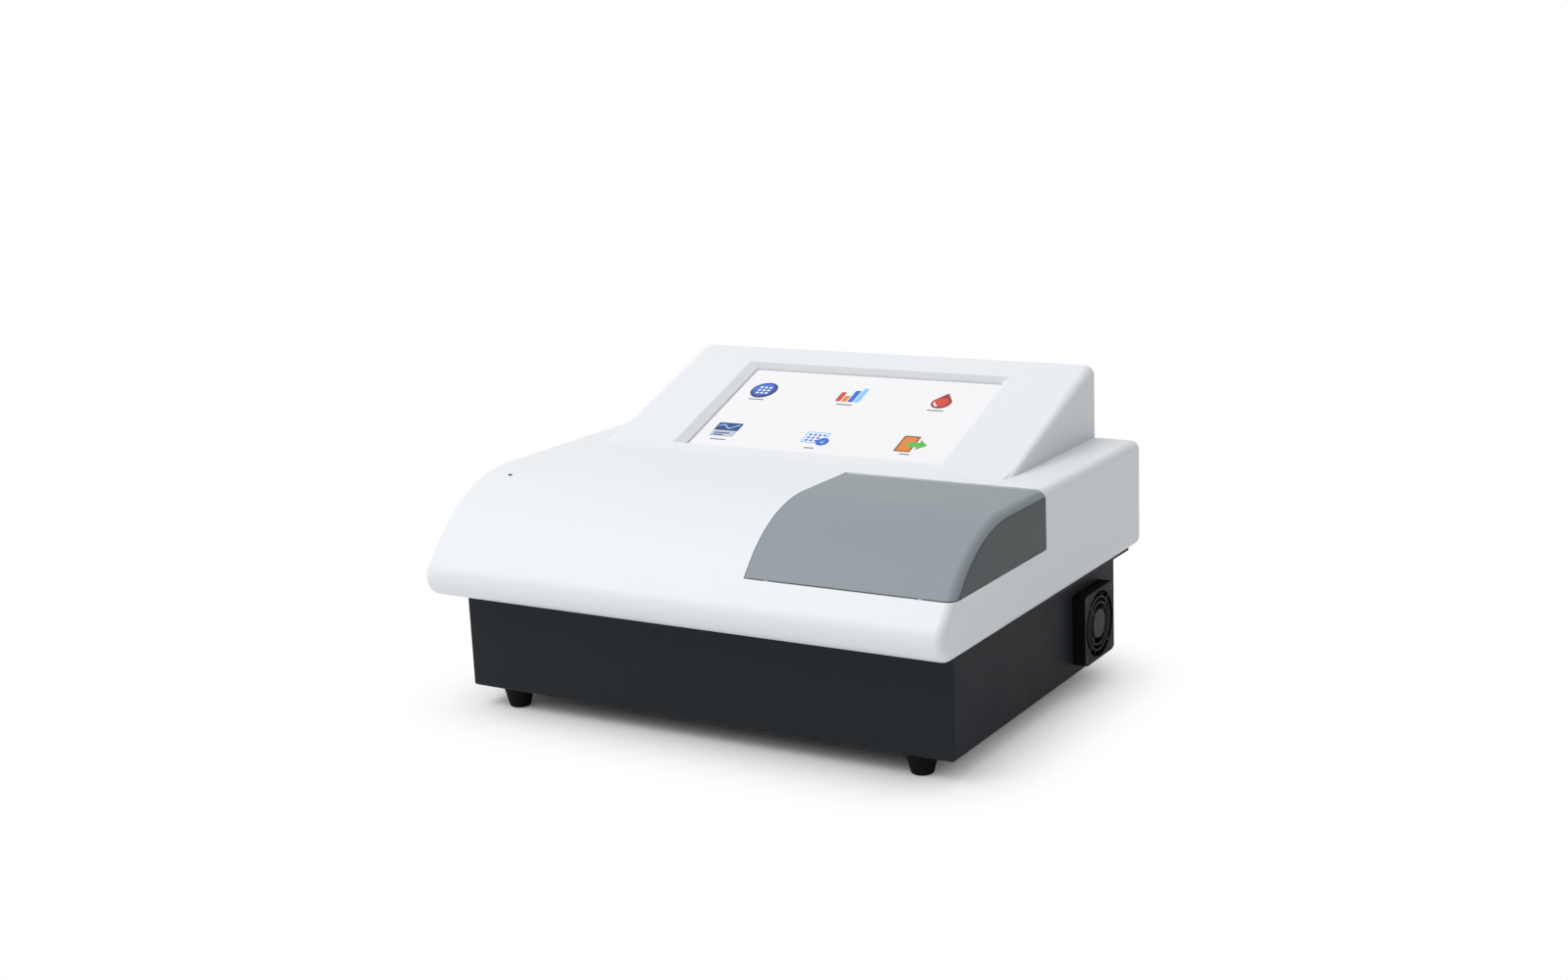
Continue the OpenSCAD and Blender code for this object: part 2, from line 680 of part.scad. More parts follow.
module display_board() color("darkgreen") on_face() {
    translate([-60, window_u - 30, -frame_n - 4]) cube([120, 60, 1.6]);
    for (x = [-50, 50], u = [-20, 20])
        translate([x, window_u + u, -frame_n - 2.5]) cylinder(r = 2.5, h = 2.5);
    translate([-20, window_u - 12, -frame_n - 6.4]) cube([22, 22, 2.5]);
    translate([28, window_u - 26, -frame_n - 9]) cube([26, 6, 5.1]);
}

module fan_frame() color([0.07, 0.07, 0.08]) difference() {
    union() {
        difference() {
            from_fan(0, fan_t) round_rect(fan_w, fan_w, 4);
            from_fan(-1, fan_t + 1) circle(duct_r);
        }
        from_fan(0, 1.2) {
            circle(rotor_hub_r - 1);
            for (a = [30, 150, 270]) rotate(a) translate([0, -1.5]) square([duct_r + 1, 3]);
        }
        from_fan(0, fan_t - 2.5) circle(1.5);
    }
    at_fan_holes() translate([0, 0, -1]) cylinder(r = 1.4, h = fan_t + 2);
}

// Axes of the four fan screws, pointing out of the base's side
module at_fan_holes() {
    for (y = [-1, 1], z = [-1, 1])
        translate([base_w / 2, fan_y + y * fan_hole, fan_z + z * fan_hole]) rotate([0, 90, 0]) children();
}

// Extrude an outline drawn about the fan's axis, from x0 to x1 outside the base
module from_fan(x0, x1) {
    translate([base_w / 2 + x0, fan_y, fan_z]) rotate([90, 0, 90]) linear_extrude(x1 - x0) children();
}

module finger_guard() color([0.07, 0.07, 0.08]) difference() {
    from_fan(fan_t, fan_t + guard_t) {
        difference() {
            round_rect(fan_w, fan_w, 4);
            circle(duct_r + 0.5);
        }
        for (r = [rotor_hub_r + 0.5 : 5.3 : duct_r - 3]) difference() {
            circle(r + 0.6);
            circle(r - 0.6);
        }
        circle(rotor_hub_r - 2.5);
        for (a = [45:90:315]) rotate(a) translate([rotor_hub_r - 4, -0.8])
            square([duct_r - rotor_hub_r + 5, 1.6]);
    }
    at_fan_holes() {
        translate([0, 0, fan_t - 1]) cylinder(r = 1.4, h = guard_t + 2);
        translate([0, 0, fan_t + guard_t - 1.2]) cylinder(r = 2.6, h = 2);
    }
}

module fan_screws() color("black") at_fan_holes() {
    translate([0, 0, -5]) cylinder(r = 1.2, h = fan_t + guard_t + 4);
    translate([0, 0, fan_t + guard_t - 1.2]) cylinder(r = 2.5, h = 1.1);
}

module fan_rotor() color([0.1, 0.1, 0.11]) difference() {
    union() {
        from_fan(1.6, fan_t - 0.5) circle(rotor_hub_r);
        intersection() {
            from_fan(1.6, fan_t - 0.5) circle(duct_r - 0.7);
            for (k = [0:blades - 1])
                translate([base_w / 2 + fan_t / 2 + 0.5, fan_y, fan_z]) rotate([k * 360 / blades, 0, 0])
                    translate([0, rotor_hub_r - 1, 0]) rotate([0, blade_twist, 0])
                        translate([-6, 0, -0.6]) cube([12, 20, 1.2]);
        }
    }
    from_fan(-1, fan_t - 2.2) circle(1.5 + run_gap);
}

module power_inlet() color([0.06, 0.06, 0.06]) translate([inlet_x, base_y1, inlet_z]) difference() {
    union() {
        from_y(0, 2.5) round_rect(50, 24, 4);
        from_y(-16, 0.1) round_rect(27.4, 20.4, 2);
    }
    from_y(-14, 3) round_rect(24, 16.5, 2.5);
    for (x = inlet_screws) rod_y(1.7, -1, 5, x - inlet_x, 0);
    pin_blades(tiny);
}

// Three flat pins of the power inlet, grown by e
module pin_blades(e) {
    for (p = [[-7, -2], [7, -2], [0, 2]])
        box([p.x - 1 - e, -22, p.y - 2 - e], [p.x + 1 + e, -3, p.y + 2 + e]);
}

module inlet_pins() color("silver") translate([inlet_x, base_y1, inlet_z]) pin_blades(0);

module switch_frame() color([0.06, 0.06, 0.06]) translate([switch_x, base_y1, inlet_z]) difference() {
    union() {
        from_y(0, 2) round_rect(23, 17, 1.5);
        from_y(-14, 0.1) square([19, 13], center = true);
    }
    from_y(-9, 3) square([16.4, 10.6], center = true);
    rod_x(0.9, -9, 9, -2, 0);
}

module power_rocker() color([0.1, 0.1, 0.1])
    translate([switch_x, base_y1 - 2, inlet_z]) rotate([rocker_tilt, 0, 0]) {
    rod_x(4, -7.8, 7.8, 0, 0);
    from_x(-7.8, 7.8) polygon([[-4, -2.5], [3.2, -4.6], [4.1, 0], [3.2, 4.6], [-4, 2.5]]);
    rod_x(0.85, -8.8, 8.8, 0, 0);
}

module data_ports() color("silver") for (p = port_places) translate([p.x, base_y1, inlet_z]) difference() {
    box([-p.y / 2, -12, -p.z / 2], [p.y / 2, 1, p.z / 2]);
    box([-p.y / 2 + 1, -8, -p.z / 2 + 1], [p.y / 2 - 1, 2, p.z / 2 - 1]);
}

module power_supply() color([0.72, 0.73, 0.74]) difference() {
    box([psu_x0, psu_y0, psu_z], [psu_x1, psu_y1, psu_z + 38]);
    box([psu_x0 + 1.5, psu_y0 - 2, psu_z + 1.5], [psu_x1 - 1.5, psu_y0 + 14, psu_z + 39]);
    for (i = [0:6])
        box([psu_x0 + 15 + i * 11, psu_y0 + 30, psu_z + 30],
            [psu_x0 + 19 + i * 11, psu_y1 - 15, psu_z + 39]);
}

module main_board() color("darkgreen") difference() {
    box([board_x0, board_y0, board_z], [board_x1, board_y1, board_z + board_t]);
    for (p = board_holes) rod_z(1.6, 0, cover_z0, p.x, p.y);
}

module board_standoffs() color("silver") for (p = board_holes) {
    rod_z(3, foot_h + sheet, board_z, p.x, p.y);
    rod_z(1.5, board_z - 0.1, board_z + 2.5, p.x, p.y);
}

module board_parts() color([0.15, 0.15, 0.16]) {
    translate([board_x0, board_y0, board_z + board_t]) {
        box([33, 35, 0], [65, 67, 2.5]);
        for (i = [0:3]) box([93 + i * 18, 45, 0], [103 + i * 18, 65, 2]);
        for (i = [0:3]) rod_z(5, 0, 12, 23 + i * 16, 107);
        for (i = [0:4]) box([103 + i * 17, 109, 0], [115 + i * 17, 119, 8]);
        box([171, 35, 0], [191, 75, 15]);
    }
}

// One plate nest with two bearing blocks and the arm that takes the belt
module plate_carrier() color([0.75, 0.76, 0.78]) translate([mid_x, carrier_y, 0]) difference() {
    union() {
        box([-nest_w / 2 - nest_wall, -carrier_l / 2, nest_z - nest_t],
            [nest_w / 2 + nest_wall, carrier_l / 2, nest_z + nest_rim]);
        for (s = [-1, 1]) translate([s * rod_off, 0, 0])
            box([-block_w / 2 - (s > 0 ? 3 : 0), -block_l / 2, block_bot],
                [block_w / 2 + (s < 0 ? 3 : 0), block_l / 2, nest_z]);
        box([strand_x - mid_x + belt_t + 0.3, -clamp_l / 2, belt_z - 0.5],
            [strand_x - mid_x + 6, clamp_l / 2, block_bot + 1]);
    }
    box([-nest_w / 2, -nest_l / 2, nest_z], [nest_w / 2, nest_l / 2, nest_z + 20]);
    box([-nest_w / 2 + 4, -nest_l / 2 + 4, nest_z - 10], [nest_w / 2 - 4, nest_l / 2 - 4, nest_z + 1]);
    for (s = [-1, 1]) box([-20, s * carrier_l / 2 - 5, nest_z], [20, s * carrier_l / 2 + 5, nest_z + 20]);
    for (x = [-rod_off, rod_off]) rod_y(bush_r + tiny * 2, -block_l, block_l, x, rod_z);
    for (y = clamp_holes) rod_x(0.8, strand_x - mid_x, strand_x - mid_x + 7, y, clamp_z);
}

module slide_bushes() color("tan") translate([mid_x, carrier_y, 0])
    for (x = [-rod_off, rod_off], s = [-1, 1]) difference() {
        union() {
            rod_y(bush_r, s * (block_l / 2 - 6) - 6, s * (block_l / 2 - 6) + 6, x, rod_z);
            rod_y(bush_r + 1.2, s * (block_l / 2 + 0.75) - 0.75, s * (block_l / 2 + 0.75) + 0.75, x, rod_z);
        }
        rod_y(rod_r + run_gap, -block_l, block_l, x, rod_z);
    }

module plate_spring() color("silver") translate([mid_x, carrier_y + nest_l / 2, nest_z]) {
    box([-15, 0.2, 0], [15, nest_wall - 0.2, 0.5]);
    box([-12, 0.05, 0], [12, 0.5, nest_rim - 0.5]);
}

module belt_clamp() color("silver") translate([strand_x, carrier_y, 0]) difference() {
    union() {
        box([-clamp_t - 0.3, -clamp_l / 2, belt_z - 0.5], [-0.3, clamp_l / 2, block_bot - 0.2]);
        box([-clamp_t - 0.3, -clamp_l / 2, belt_z + belt_w + 0.3],
            [belt_t + 0.3, clamp_l / 2, block_bot - 0.2]);
    }
    for (y = clamp_holes) rod_x(0.9, -10, 10, y, clamp_z);
}

module clamp_screws() color("silver") translate([strand_x, carrier_y, 0]) for (y = clamp_holes) {
    rod_x(1.3, -clamp_t - 1.3, -clamp_t - 0.3, y, clamp_z);
    rod_x(0.75, -clamp_t - 0.4, 6, y, clamp_z);
}

module sensor_flag() color("silver") translate([flag_x, carrier_y + block_l / 2 - 14, 0]) {
    box([0, 0, rod_z - 2], [0.8, 12, rod_z + 4]);
    box([0, 0, rod_z - 2], [6.4, 12, rod_z - 1.2]);
    box([5.6, 0, block_bot], [6.4, 12, rod_z - 1.2]);
}

module home_sensor() color([0.1, 0.1, 0.1]) translate([flag_x + 6, sensor_y, cover_z0]) {
    box([-4.5, -6, 0], [4.5, 6, 4]);
    box([-4.5, -5, 0], [-1.6, 5, rod_rise - 3.5]);
    box([1.6, -5, 0], [4.5, 5, rod_rise - 3.5]);
}

module guide_rods() color("silver") for (x = [mid_x - rod_off, mid_x + rod_off])
    rod_y(rod_r, rod_y0, rod_y1, x, rod_z);

module rod_mounts() color([0.3, 0.31, 0.33]) for (x = [mid_x - rod_off, mid_x + rod_off]) difference() {
    union() {
        box([x - 7, rod_y0, floor_z + floor_t], [x + 7, rod_y0 + mount_l, rod_z + 5.5]);
        box([x - 7, rod_y1 - mount_l, cover_z0], [x + 7, rod_y1, rod_z + 5.5]);
    }
    rod_y(rod_r + tiny, rod_y0 - 1, rod_y1 + 1, x, rod_z);
}

// Flat outline of the belt's loop, grown by e from the pulley side
module belt_loop(e) {
    translate([belt_x - belt_in - e, idler_y]) square([2 * (belt_in + e), drive_y - idler_y]);
    for (y = [idler_y, drive_y]) translate([belt_x, y]) circle(belt_in + e, $fn = 64);
}

module drive_belt() color([0.1, 0.1, 0.1]) translate([0, 0, belt_z]) linear_extrude(belt_w) difference() {
    belt_loop(belt_t);
    belt_loop(0);
}

// Toothed pulley, a little wider than its belt
module pulley(bore) difference() {
    translate([0, 0, belt_z - 0.5]) linear_extrude(belt_w + 1) difference() {
        circle(pulley_r);
        for (k = [0:pulley_teeth - 1]) rotate(k * 360 / pulley_teeth)
            translate([pulley_r, 0]) circle(0.5, $fn = 16);
    }
    translate([0, 0, belt_z - 1]) cylinder(r = bore, h = belt_w + 3);
}

module drive_pulley() color("silver") translate([belt_x, drive_y, 0]) pulley(shaft_r + tiny);
module idler_pulley() color("silver") translate([belt_x, idler_y, 0]) pulley(shaft_r + run_gap);

module motor_shaft() color("silver")
    rod_z(shaft_r, base_top - motor_h + 6, shaft_top, belt_x, drive_y);

module idler_post() color("silver") {
    rod_z(shaft_r, base_top - 1, shaft_top, belt_x, idler_y);
    rod_z(4.5, base_top - 2, base_top, belt_x, idler_y);
}

module carriage_motor() color([0.2, 0.2, 0.22]) difference() {
    union() {
        translate([belt_x, drive_y, base_top - motor_h]) linear_extrude(motor_h)
            round_rect(motor_w, motor_w, 4);
        rod_z(11, base_top - 1, base_top + 2, belt_x, drive_y);
    }
    rod_z(shaft_r + run_gap, base_top - motor_h + 5, base_top + 3, belt_x, drive_y);
}

module optics_bridge() color("silver") difference() {
    translate([0, line_y, 0]) {
        box([post_x[0] - post_t, -12, cover_z0], [post_x[0], 12, bridge_z]);
        box([post_x[1], -12, cover_z0], [post_x[1] + post_t, 12, bridge_z]);
        box([post_x[0] - post_t, -12, bridge_z - post_t], [post_x[1] + post_t, 12, bridge_z]);
        box([post_x[0] - 9, -12, cover_z0], [post_x[0], 12, cover_z0 + 2]);
        box([post_x[1] - 9, -12, cover_z0], [post_x[1] + post_t, 12, cover_z0 + 2]);
    }
    at_channels() translate([0, 0, lens_z]) cylinder(r = guide_r + 0.4, h = lens_h + 5);
}

// Channel axes over the measuring line
module at_channels() {
    for (i = [0:channels - 1])
        translate([mid_x + (i - (channels - 1) / 2) * channel_pitch, line_y, 0]) children();
}

module lens_block() color([0.12, 0.12, 0.13]) difference() {
    box([mid_x - 40, line_y - 8, lens_z], [mid_x + 40, line_y + 8, lens_z + lens_h]);
    at_channels() {
        translate([0, 0, lens_z - 1]) cylinder(r = 3.5, h = 6);
        translate([0, 0, lens_z]) cylinder(r = guide_r + 0.05, h = lens_h + 1);
    }
}

module lenses() color([0.8, 0.9, 1]) at_channels() translate([0, 0, lens_z + 2]) cylinder(r = 3.45, h = 3);

// Each light guide rises from its lens, bends once and runs level to the coupler
module light_guides() color([0.9, 0.9, 0.85]) for (i = [0:channels - 1]) {
    x = mid_x + (i - (channels - 1) / 2) * channel_pitch;
    z = guide_z0 + i * guide_pitch;
    rod_z(guide_r, lens_z + 7, z - bend_r, x, line_y);
    translate([x - bend_r, line_y, z - bend_r]) rotate([90, 0, 0]) rotate_extrude(angle = 90, $fn = 48)
        translate([bend_r, 0]) circle(guide_r, $fn = 24);
    rod_x(guide_r, coupler_x - 1, x - bend_r, line_y, z);
}

module wheel_bracket() color("silver") difference() {
    union() {
        box([brk_x, line_y - 20, cover_z0], [brk_x + brk_t, line_y + 20, beam_z + 9.5]);
        box([brk_x, line_y - 20, cover_z0], [brk_x + 18, line_y + 20, cover_z0 + 2]);
    }
    rod_x(4, brk_x - 1, brk_x + brk_t + 1, line_y, wheel_z);
    box([brk_x - 1, line_y - 3, beam_z - 9], [brk_x + brk_t + 1, line_y + 3, beam_z + 9]);
}

module guide_coupler() color([0.12, 0.12, 0.13]) difference() {
    box([coupler_x, line_y - 7, beam_z - 9.5], [coupler_x + coupler_t, line_y + 7, beam_z + 9.5]);
    for (i = [0:channels - 1])
        rod_x(guide_r + 0.05, coupler_x - 1, coupler_x + coupler_t + 1, line_y, guide_z0 + i * guide_pitch);
}

module wheel_motor() color([0.2, 0.2, 0.22]) difference() {
    rod_x(14, coupler_x, coupler_x + 16, line_y, wheel_z);
    rod_x(2 + run_gap, coupler_x - 1, coupler_x + 12, line_y, wheel_z);
}

module wheel_shaft() color("silver") rod_x(2, wheel_x - 2, coupler_x + 11, line_y, wheel_z);

module filter_wheel() color([0.15, 0.15, 0.16])
    translate([wheel_x, line_y, wheel_z]) rotate([90, 0, 90]) difference() {
    union() {
        cylinder(r = wheel_r, h = wheel_t);
        cylinder(r = 7, h = wheel_t + 1.5);
    }
    translate([0, 0, -1]) cylinder(r = 2 + tiny, h = 20);
    at_filters() {
        translate([0, 0, -1]) cylinder(r = filter_r - 0.8, h = 10);
        translate([0, 0, 1.5]) cylinder(r = filter_r + 0.1, h = 10);
    }
}

// Filter places round the wheel, the first one on the beam
module at_filters() {
    for (k = [0:filters - 1]) rotate(90 + k * 360 / filters) translate([filter_pcr, 0, 0]) children();
}

module filter_discs() color([0.5, 0.4, 0.8]) translate([wheel_x, line_y, wheel_z]) rotate([90, 0, 90])
    at_filters() translate([0, 0, 1.5]) cylinder(r = filter_r, h = 3);

module lamp_housing() color([0.5, 0.51, 0.53]) difference() {
    union() {
        box([lamp_x0, line_y - 16, beam_z - 30], [lamp_x1, line_y + 16, beam_z + 10]);
        for (x = [lamp_x0 + 4, lamp_x1 - 12])
            box([x, line_y - 16, cover_z0], [x + 8, line_y + 16, beam_z - 29]);
    }
    rod_x(8, lamp_x0 + 10, lamp_x1 + 1, line_y, beam_z);
    for (i = [0:8])
        box([lamp_x0 + 4 + i * 6, line_y - 17, beam_z - 27],
            [lamp_x0 + 7 + i * 6, line_y + 17, beam_z - 11]);
}

module lamp() color([0.9, 0.95, 1]) {
    rod_x(7.9, lamp_x0 + 10, lamp_x0 + 20, line_y, beam_z);
    rod_x(5, lamp_x0 + 19.9, lamp_x0 + 34, line_y, beam_z);
    translate([lamp_x0 + 34, line_y, beam_z]) sphere(5, $fn = 32);
    rod_x(7.9, lamp_x1 - 6, lamp_x1 - 1, line_y, beam_z);
}

module detector_board() color("darkgreen") {
    box([mid_x - 46, line_y - 13, cover_z0 + 1.4], [mid_x + 46, line_y + 13, det_z]);
    for (x = [mid_x - 43, mid_x + 43], y = [-10, 10]) rod_z(2, cover_z0, cover_z0 + 1.5, x, line_y + y);
}

module detector_block() color([0.12, 0.12, 0.13]) difference() {
    box([mid_x - 40, line_y - 9, det_z], [mid_x + 40, line_y + 9, nest_z - nest_t - 3.5]);
    at_channels() translate([0, 0, det_z + 2]) cylinder(r = 2.5, h = 30);
}

top_cover();
base_chassis();
deck_plate();
bay_liner();
feet();
foot_screws();
case_screws();
touch_glass();
screen_seal();
display_panel();
display_frame();
display_screws();
display_board();
power_indicator();
indicator_board();
fan_frame();
finger_guard();
fan_screws();
fan_rotor();
power_inlet();
inlet_pins();
switch_frame();
power_rocker();
data_ports();
power_supply();
main_board();
board_parts();
board_standoffs();
lid();
hinge_pins();
lid_bumpers();
plate_carrier();
slide_bushes();
plate_spring();
belt_clamp();
clamp_screws();
sensor_flag();
guide_rods();
rod_mounts();
drive_belt();
drive_pulley();
motor_shaft();
idler_pulley();
idler_post();
carriage_motor();
home_sensor();
optics_bridge();
lens_block();
lenses();
light_guides();
wheel_bracket();
guide_coupler();
wheel_motor();
filter_wheel();
filter_discs();
wheel_shaft();
lamp_housing();
lamp();
detector_block();
detector_board();
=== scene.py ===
import math

import bmesh
import bpy
from bpy.props import FloatProperty, FloatVectorProperty, IntProperty, PointerProperty
from bpy.types import Operator, Panel, PropertyGroup
from mathutils import Matrix, Vector


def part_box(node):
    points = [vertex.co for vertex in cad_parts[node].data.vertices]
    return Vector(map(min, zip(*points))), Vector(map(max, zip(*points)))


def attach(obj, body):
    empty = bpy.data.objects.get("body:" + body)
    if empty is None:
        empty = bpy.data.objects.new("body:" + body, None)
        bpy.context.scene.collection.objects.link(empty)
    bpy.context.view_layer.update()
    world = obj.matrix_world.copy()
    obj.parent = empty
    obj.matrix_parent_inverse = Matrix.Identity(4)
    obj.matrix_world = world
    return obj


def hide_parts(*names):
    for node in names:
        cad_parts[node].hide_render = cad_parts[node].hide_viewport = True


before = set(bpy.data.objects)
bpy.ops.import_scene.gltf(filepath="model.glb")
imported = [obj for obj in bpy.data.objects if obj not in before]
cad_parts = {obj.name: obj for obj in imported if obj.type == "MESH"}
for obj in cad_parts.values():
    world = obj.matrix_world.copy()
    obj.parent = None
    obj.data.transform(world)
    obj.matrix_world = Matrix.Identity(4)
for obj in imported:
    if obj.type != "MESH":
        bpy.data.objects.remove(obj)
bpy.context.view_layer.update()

bl_info = {
    "name": "Bench microplate reader",
    "version": (1, 0, 0),
    "blender": (4, 5, 0),
    "location": "3D View > Sidebar > Reader",
    "description": "Builds the looks of a bench microplate reader round its packed frame",
    "category": "Object",
}

MM = 0.001
TINY = 1e-7
FULL_TURN = 6.2832
SEED = 3

# Face of the screen wedge, with the sizes of the part's own source
WEDGE_RUN, WEDGE_RISE, WEDGE_EDGE = 158.5 * MM, 56.9 * MM, 3.5 * MM
TIP_Y, DECK_Z = 15.5 * MM, 179.3 * MM
FACE_REACH = Vector((WEDGE_RUN - WEDGE_EDGE, WEDGE_RISE - WEDGE_EDGE))
FACE_ANGLE = math.atan2(FACE_REACH.y, FACE_REACH.x) + math.asin(WEDGE_EDGE / FACE_REACH.length)
GLASS_N = -6.4 * MM

# Points nearer than MERGE are one point, faces turned less than FLAT are one face, and edges over SHARP
# get a radius. A try gives the share of the radius asked for, and how many radii long the edges around
# have to be. The faces beside an edge reach at least FACE_ROOM radii away from it.
MERGE = 0.002 * MM
FLAT, SHARP = math.radians(0.4), math.radians(35)
EDGE_TRIES = ((1, 3), (1, 5), (0.5, 3), (0.25, 3), (0, 0))
FACE_ROOM = 2.5

# Edges that turn by SHADE_ANGLE degrees or more stay sharp in the shading
SHADE_ANGLE, NORMAL_WEIGHT = 38, 60

# Screws: the cross recess as shares of the head's radius, its taper and its floor's share of the head's
# height, and for each kind of head the crown's share of the height and how much it draws in
SCREW_STEPS = 24
CROSS_REACH, CROSS_HALF, CROSS_TAPER, CROSS_FLOOR = 0.52, 0.13, 0.8, 0.45
DOMED_HEAD, LOW_HEAD = (0.45, 0.384), (0.12, 0.112)

# Fan blade from root to tip: pitch and sweep in degrees, chord and half thickness in millimetres
BLADE_PITCH, BLADE_SWEEP, BLADE_CHORD, BLADE_THICK = (50, 34), (0, 14), (8.4, 11.8), (0.55, 0.3)
BLADE_STATIONS, BLADE_POINTS, BLADE_CAMBER = 7, 7, 0.09

# Ink on the screen: thickness of a layer and gap to the glass, then the label bar's half height, its
# drop below the pictogram and its corner radius
INK_LAYER, INK_GAP = 0.03 * MM, 0.003 * MM
LABEL_HALF, LABEL_DROP, LABEL_ROUND = 0.8 * MM, 2.6 * MM, 0.5 * MM

# The floor turns white to the camera over FADE_REACH metres round a box on the floor
FLOOR_HALF, FLOOR_Z = 8.0, -0.1 * MM
FADE_SHIFT, FADE_HALF, FADE_REACH = (0.01, 0, 0), (0.168, 0.1, 0), 0.125

# Surroundings: how their light changes with height and from left to right. What reflections see changes
# from front to back and from left to right, between a least and a most.
SKY_UP, SKY_RIGHT, SKY_LEVEL = 0.35, -0.56, 0.85
GLOSS_BACK, GLOSS_RIGHT, GLOSS_LEVEL, GLOSS_LEAST, GLOSS_MOST = 0.12, -0.3, 0.58, 0.2, 1.0

# Camera solved from the photo: place, turn about Z, tilt down, roll and focal length
CAMERA_AT = Vector((0.8195, -1.3404, 0.5267))
CAMERA_YAW, CAMERA_PITCH, CAMERA_ROLL = (math.radians(a) for a in (31.52, 13.17, -2.53))
CAMERA_LENS, CAMERA_FILM = 48.26, 36


def on_face(x, u, n):
    """A point of the screen wedge's face: x across, u up the face, n out of it."""
    c, s = math.cos(FACE_ANGLE), math.sin(FACE_ANGLE)
    return Vector((x, TIP_Y + u * c - n * s, DECK_Z + u * s + n * c))


class CoverLook(PropertyGroup):
    """Finish of the moulded cover and the lid."""

    cover_color: FloatVectorProperty(
        name="Cover colour", description="Colour of the moulded cover",
        subtype="COLOR", size=3, default=(0.755, 0.785, 0.82))
    lid_color: FloatVectorProperty(
        name="Lid colour", description="Colour of the moulded lid",
        subtype="COLOR", size=3, default=(0.262, 0.302, 0.322))
    # Painted shade: a darker copy of the lid's colour for the lid's right side, which faces away from the
    # key light
    lid_side_color: FloatVectorProperty(
        name="Lid side colour", description="Colour of the lid's darker side cheek",
        subtype="COLOR", size=3, default=(0.094, 0.106, 0.11))
    cover_roughness: FloatProperty(
        name="Cover roughness", description="Roughness of the moulded cover",
        default=0.44, min=0, max=1, subtype="FACTOR")
    lid_roughness: FloatProperty(
        name="Lid roughness", description="Roughness of the moulded lid",
        default=0.5, min=0, max=1, subtype="FACTOR")
    edge: FloatProperty(
        name="Edge radius", description="Small radius on the mouldings' cut edges",
        default=0.35 * MM, unit="LENGTH", precision=5)


class BaseLook(PropertyGroup):
    """Finish of the sheet-metal base, its feet and the fan."""

    base_color: FloatVectorProperty(
        name="Base colour", description="Colour of the powder coat",
        subtype="COLOR", size=3, default=(0.0185, 0.022, 0.027))
    plastic_color: FloatVectorProperty(
        name="Black plastic", description="Colour of the black mouldings",
        subtype="COLOR", size=3, default=(0.006, 0.0063, 0.0068))
    # Partly painted highlight: the guard's disc has its own lighter grey, and on the rings and spokes the
    # same lighter colour stands in for the shine on their round profile
    guard_color: FloatVectorProperty(
        name="Guard bars", description="Colour of the finger guard's disc, rings and spokes",
        subtype="COLOR", size=3, default=(0.042, 0.042, 0.044))
    rubber_color: FloatVectorProperty(
        name="Rubber", description="Colour of the rubber feet",
        subtype="COLOR", size=3, default=(0.005, 0.0055, 0.006))
    edge: FloatProperty(
        name="Edge radius", description="Small radius on the sheet's edges",
        default=0.3 * MM, unit="LENGTH", precision=5)


class ScreenLook(PropertyGroup):
    """The lit touch screen and its pictograms."""

    glow: FloatProperty(
        name="Glow", description="Light given by the screen", default=0.47, min=0, max=2)
    icon: FloatProperty(
        name="Pictogram size", description="Width of a pictogram",
        default=24 * MM, unit="LENGTH", precision=4)
    label: FloatProperty(
        name="Label width", description="Width of the bar below a pictogram",
        default=14.5 * MM, unit="LENGTH", precision=4)


class FanSizes(PropertyGroup):
    """Sizes of the fan's rotor and finger guard."""

    blades: IntProperty(name="Blades", description="Number of fan blades", default=7, min=3, max=11)
    hub: FloatProperty(
        name="Hub radius", description="Radius of the rotor's hub",
        default=11 * MM, unit="LENGTH", precision=4)
    tip: FloatProperty(
        name="Tip radius", description="Radius over the blades' tips",
        default=24.3 * MM, unit="LENGTH", precision=4)
    guard_hub: FloatProperty(
        name="Guard disc", description="Radius of the disc in the middle of the finger guard",
        default=11.2 * MM, unit="LENGTH", precision=4)
    guard_rings: FloatVectorProperty(
        name="Guard rings", description="Middle radii of the two rings of the finger guard",
        size=2, default=(16.4 * MM, 20.6 * MM), unit="LENGTH", precision=4)
    guard_bar: FloatProperty(
        name="Guard bar", description="Width of the guard's rings and spokes",
        default=1.1 * MM, unit="LENGTH", precision=4)


class BeltSizes(PropertyGroup):
    """Sizes of the toothed belt."""

    pitch: FloatProperty(
        name="Tooth pitch", description="Distance between the belt's teeth",
        default=2 * MM, unit="LENGTH", precision=4)
    tooth: FloatProperty(
        name="Tooth height", description="Height of a belt tooth",
        default=0.25 * MM, unit="LENGTH", precision=5)


class StageLook(PropertyGroup):
    """Floor, light and surroundings."""

    floor_color: FloatVectorProperty(
        name="Floor colour", description="Colour of the floor",
        subtype="COLOR", size=3, default=(0.94, 0.94, 0.94))
    ambient: FloatProperty(
        name="Ambient", description="Light of the surroundings", default=0.6, min=0, max=2)
    key: FloatProperty(
        name="Key light", description="Power of the soft light from the front left",
        default=23, min=0, unit="POWER")
    top: FloatProperty(
        name="Top light", description="Power of the soft light overhead",
        default=9, min=0, unit="POWER")


LOOKS = {
    "cover": CoverLook, "base": BaseLook, "screen": ScreenLook,
    "fan": FanSizes, "belt": BeltSizes, "stage": StageLook,
}


def look(name):
    """The values of one group of looks or sizes."""
    return getattr(bpy.context.scene, "reader_" + name)


# Node helpers

def new_group(name, inputs, outputs, kind="ShaderNodeTree"):
    """An empty node group with its sockets given as name: (type, default)."""
    group = bpy.data.node_groups.new(name, kind)
    for side, sockets in (("INPUT", inputs), ("OUTPUT", outputs)):
        for socket, (socket_type, value) in sockets.items():
            made = group.interface.new_socket(
                name=socket, in_out=side, socket_type="NodeSocket" + socket_type)
            if value is not None:
                made.default_value = value
    return group, group.nodes.new("NodeGroupInput"), group.nodes.new("NodeGroupOutput")


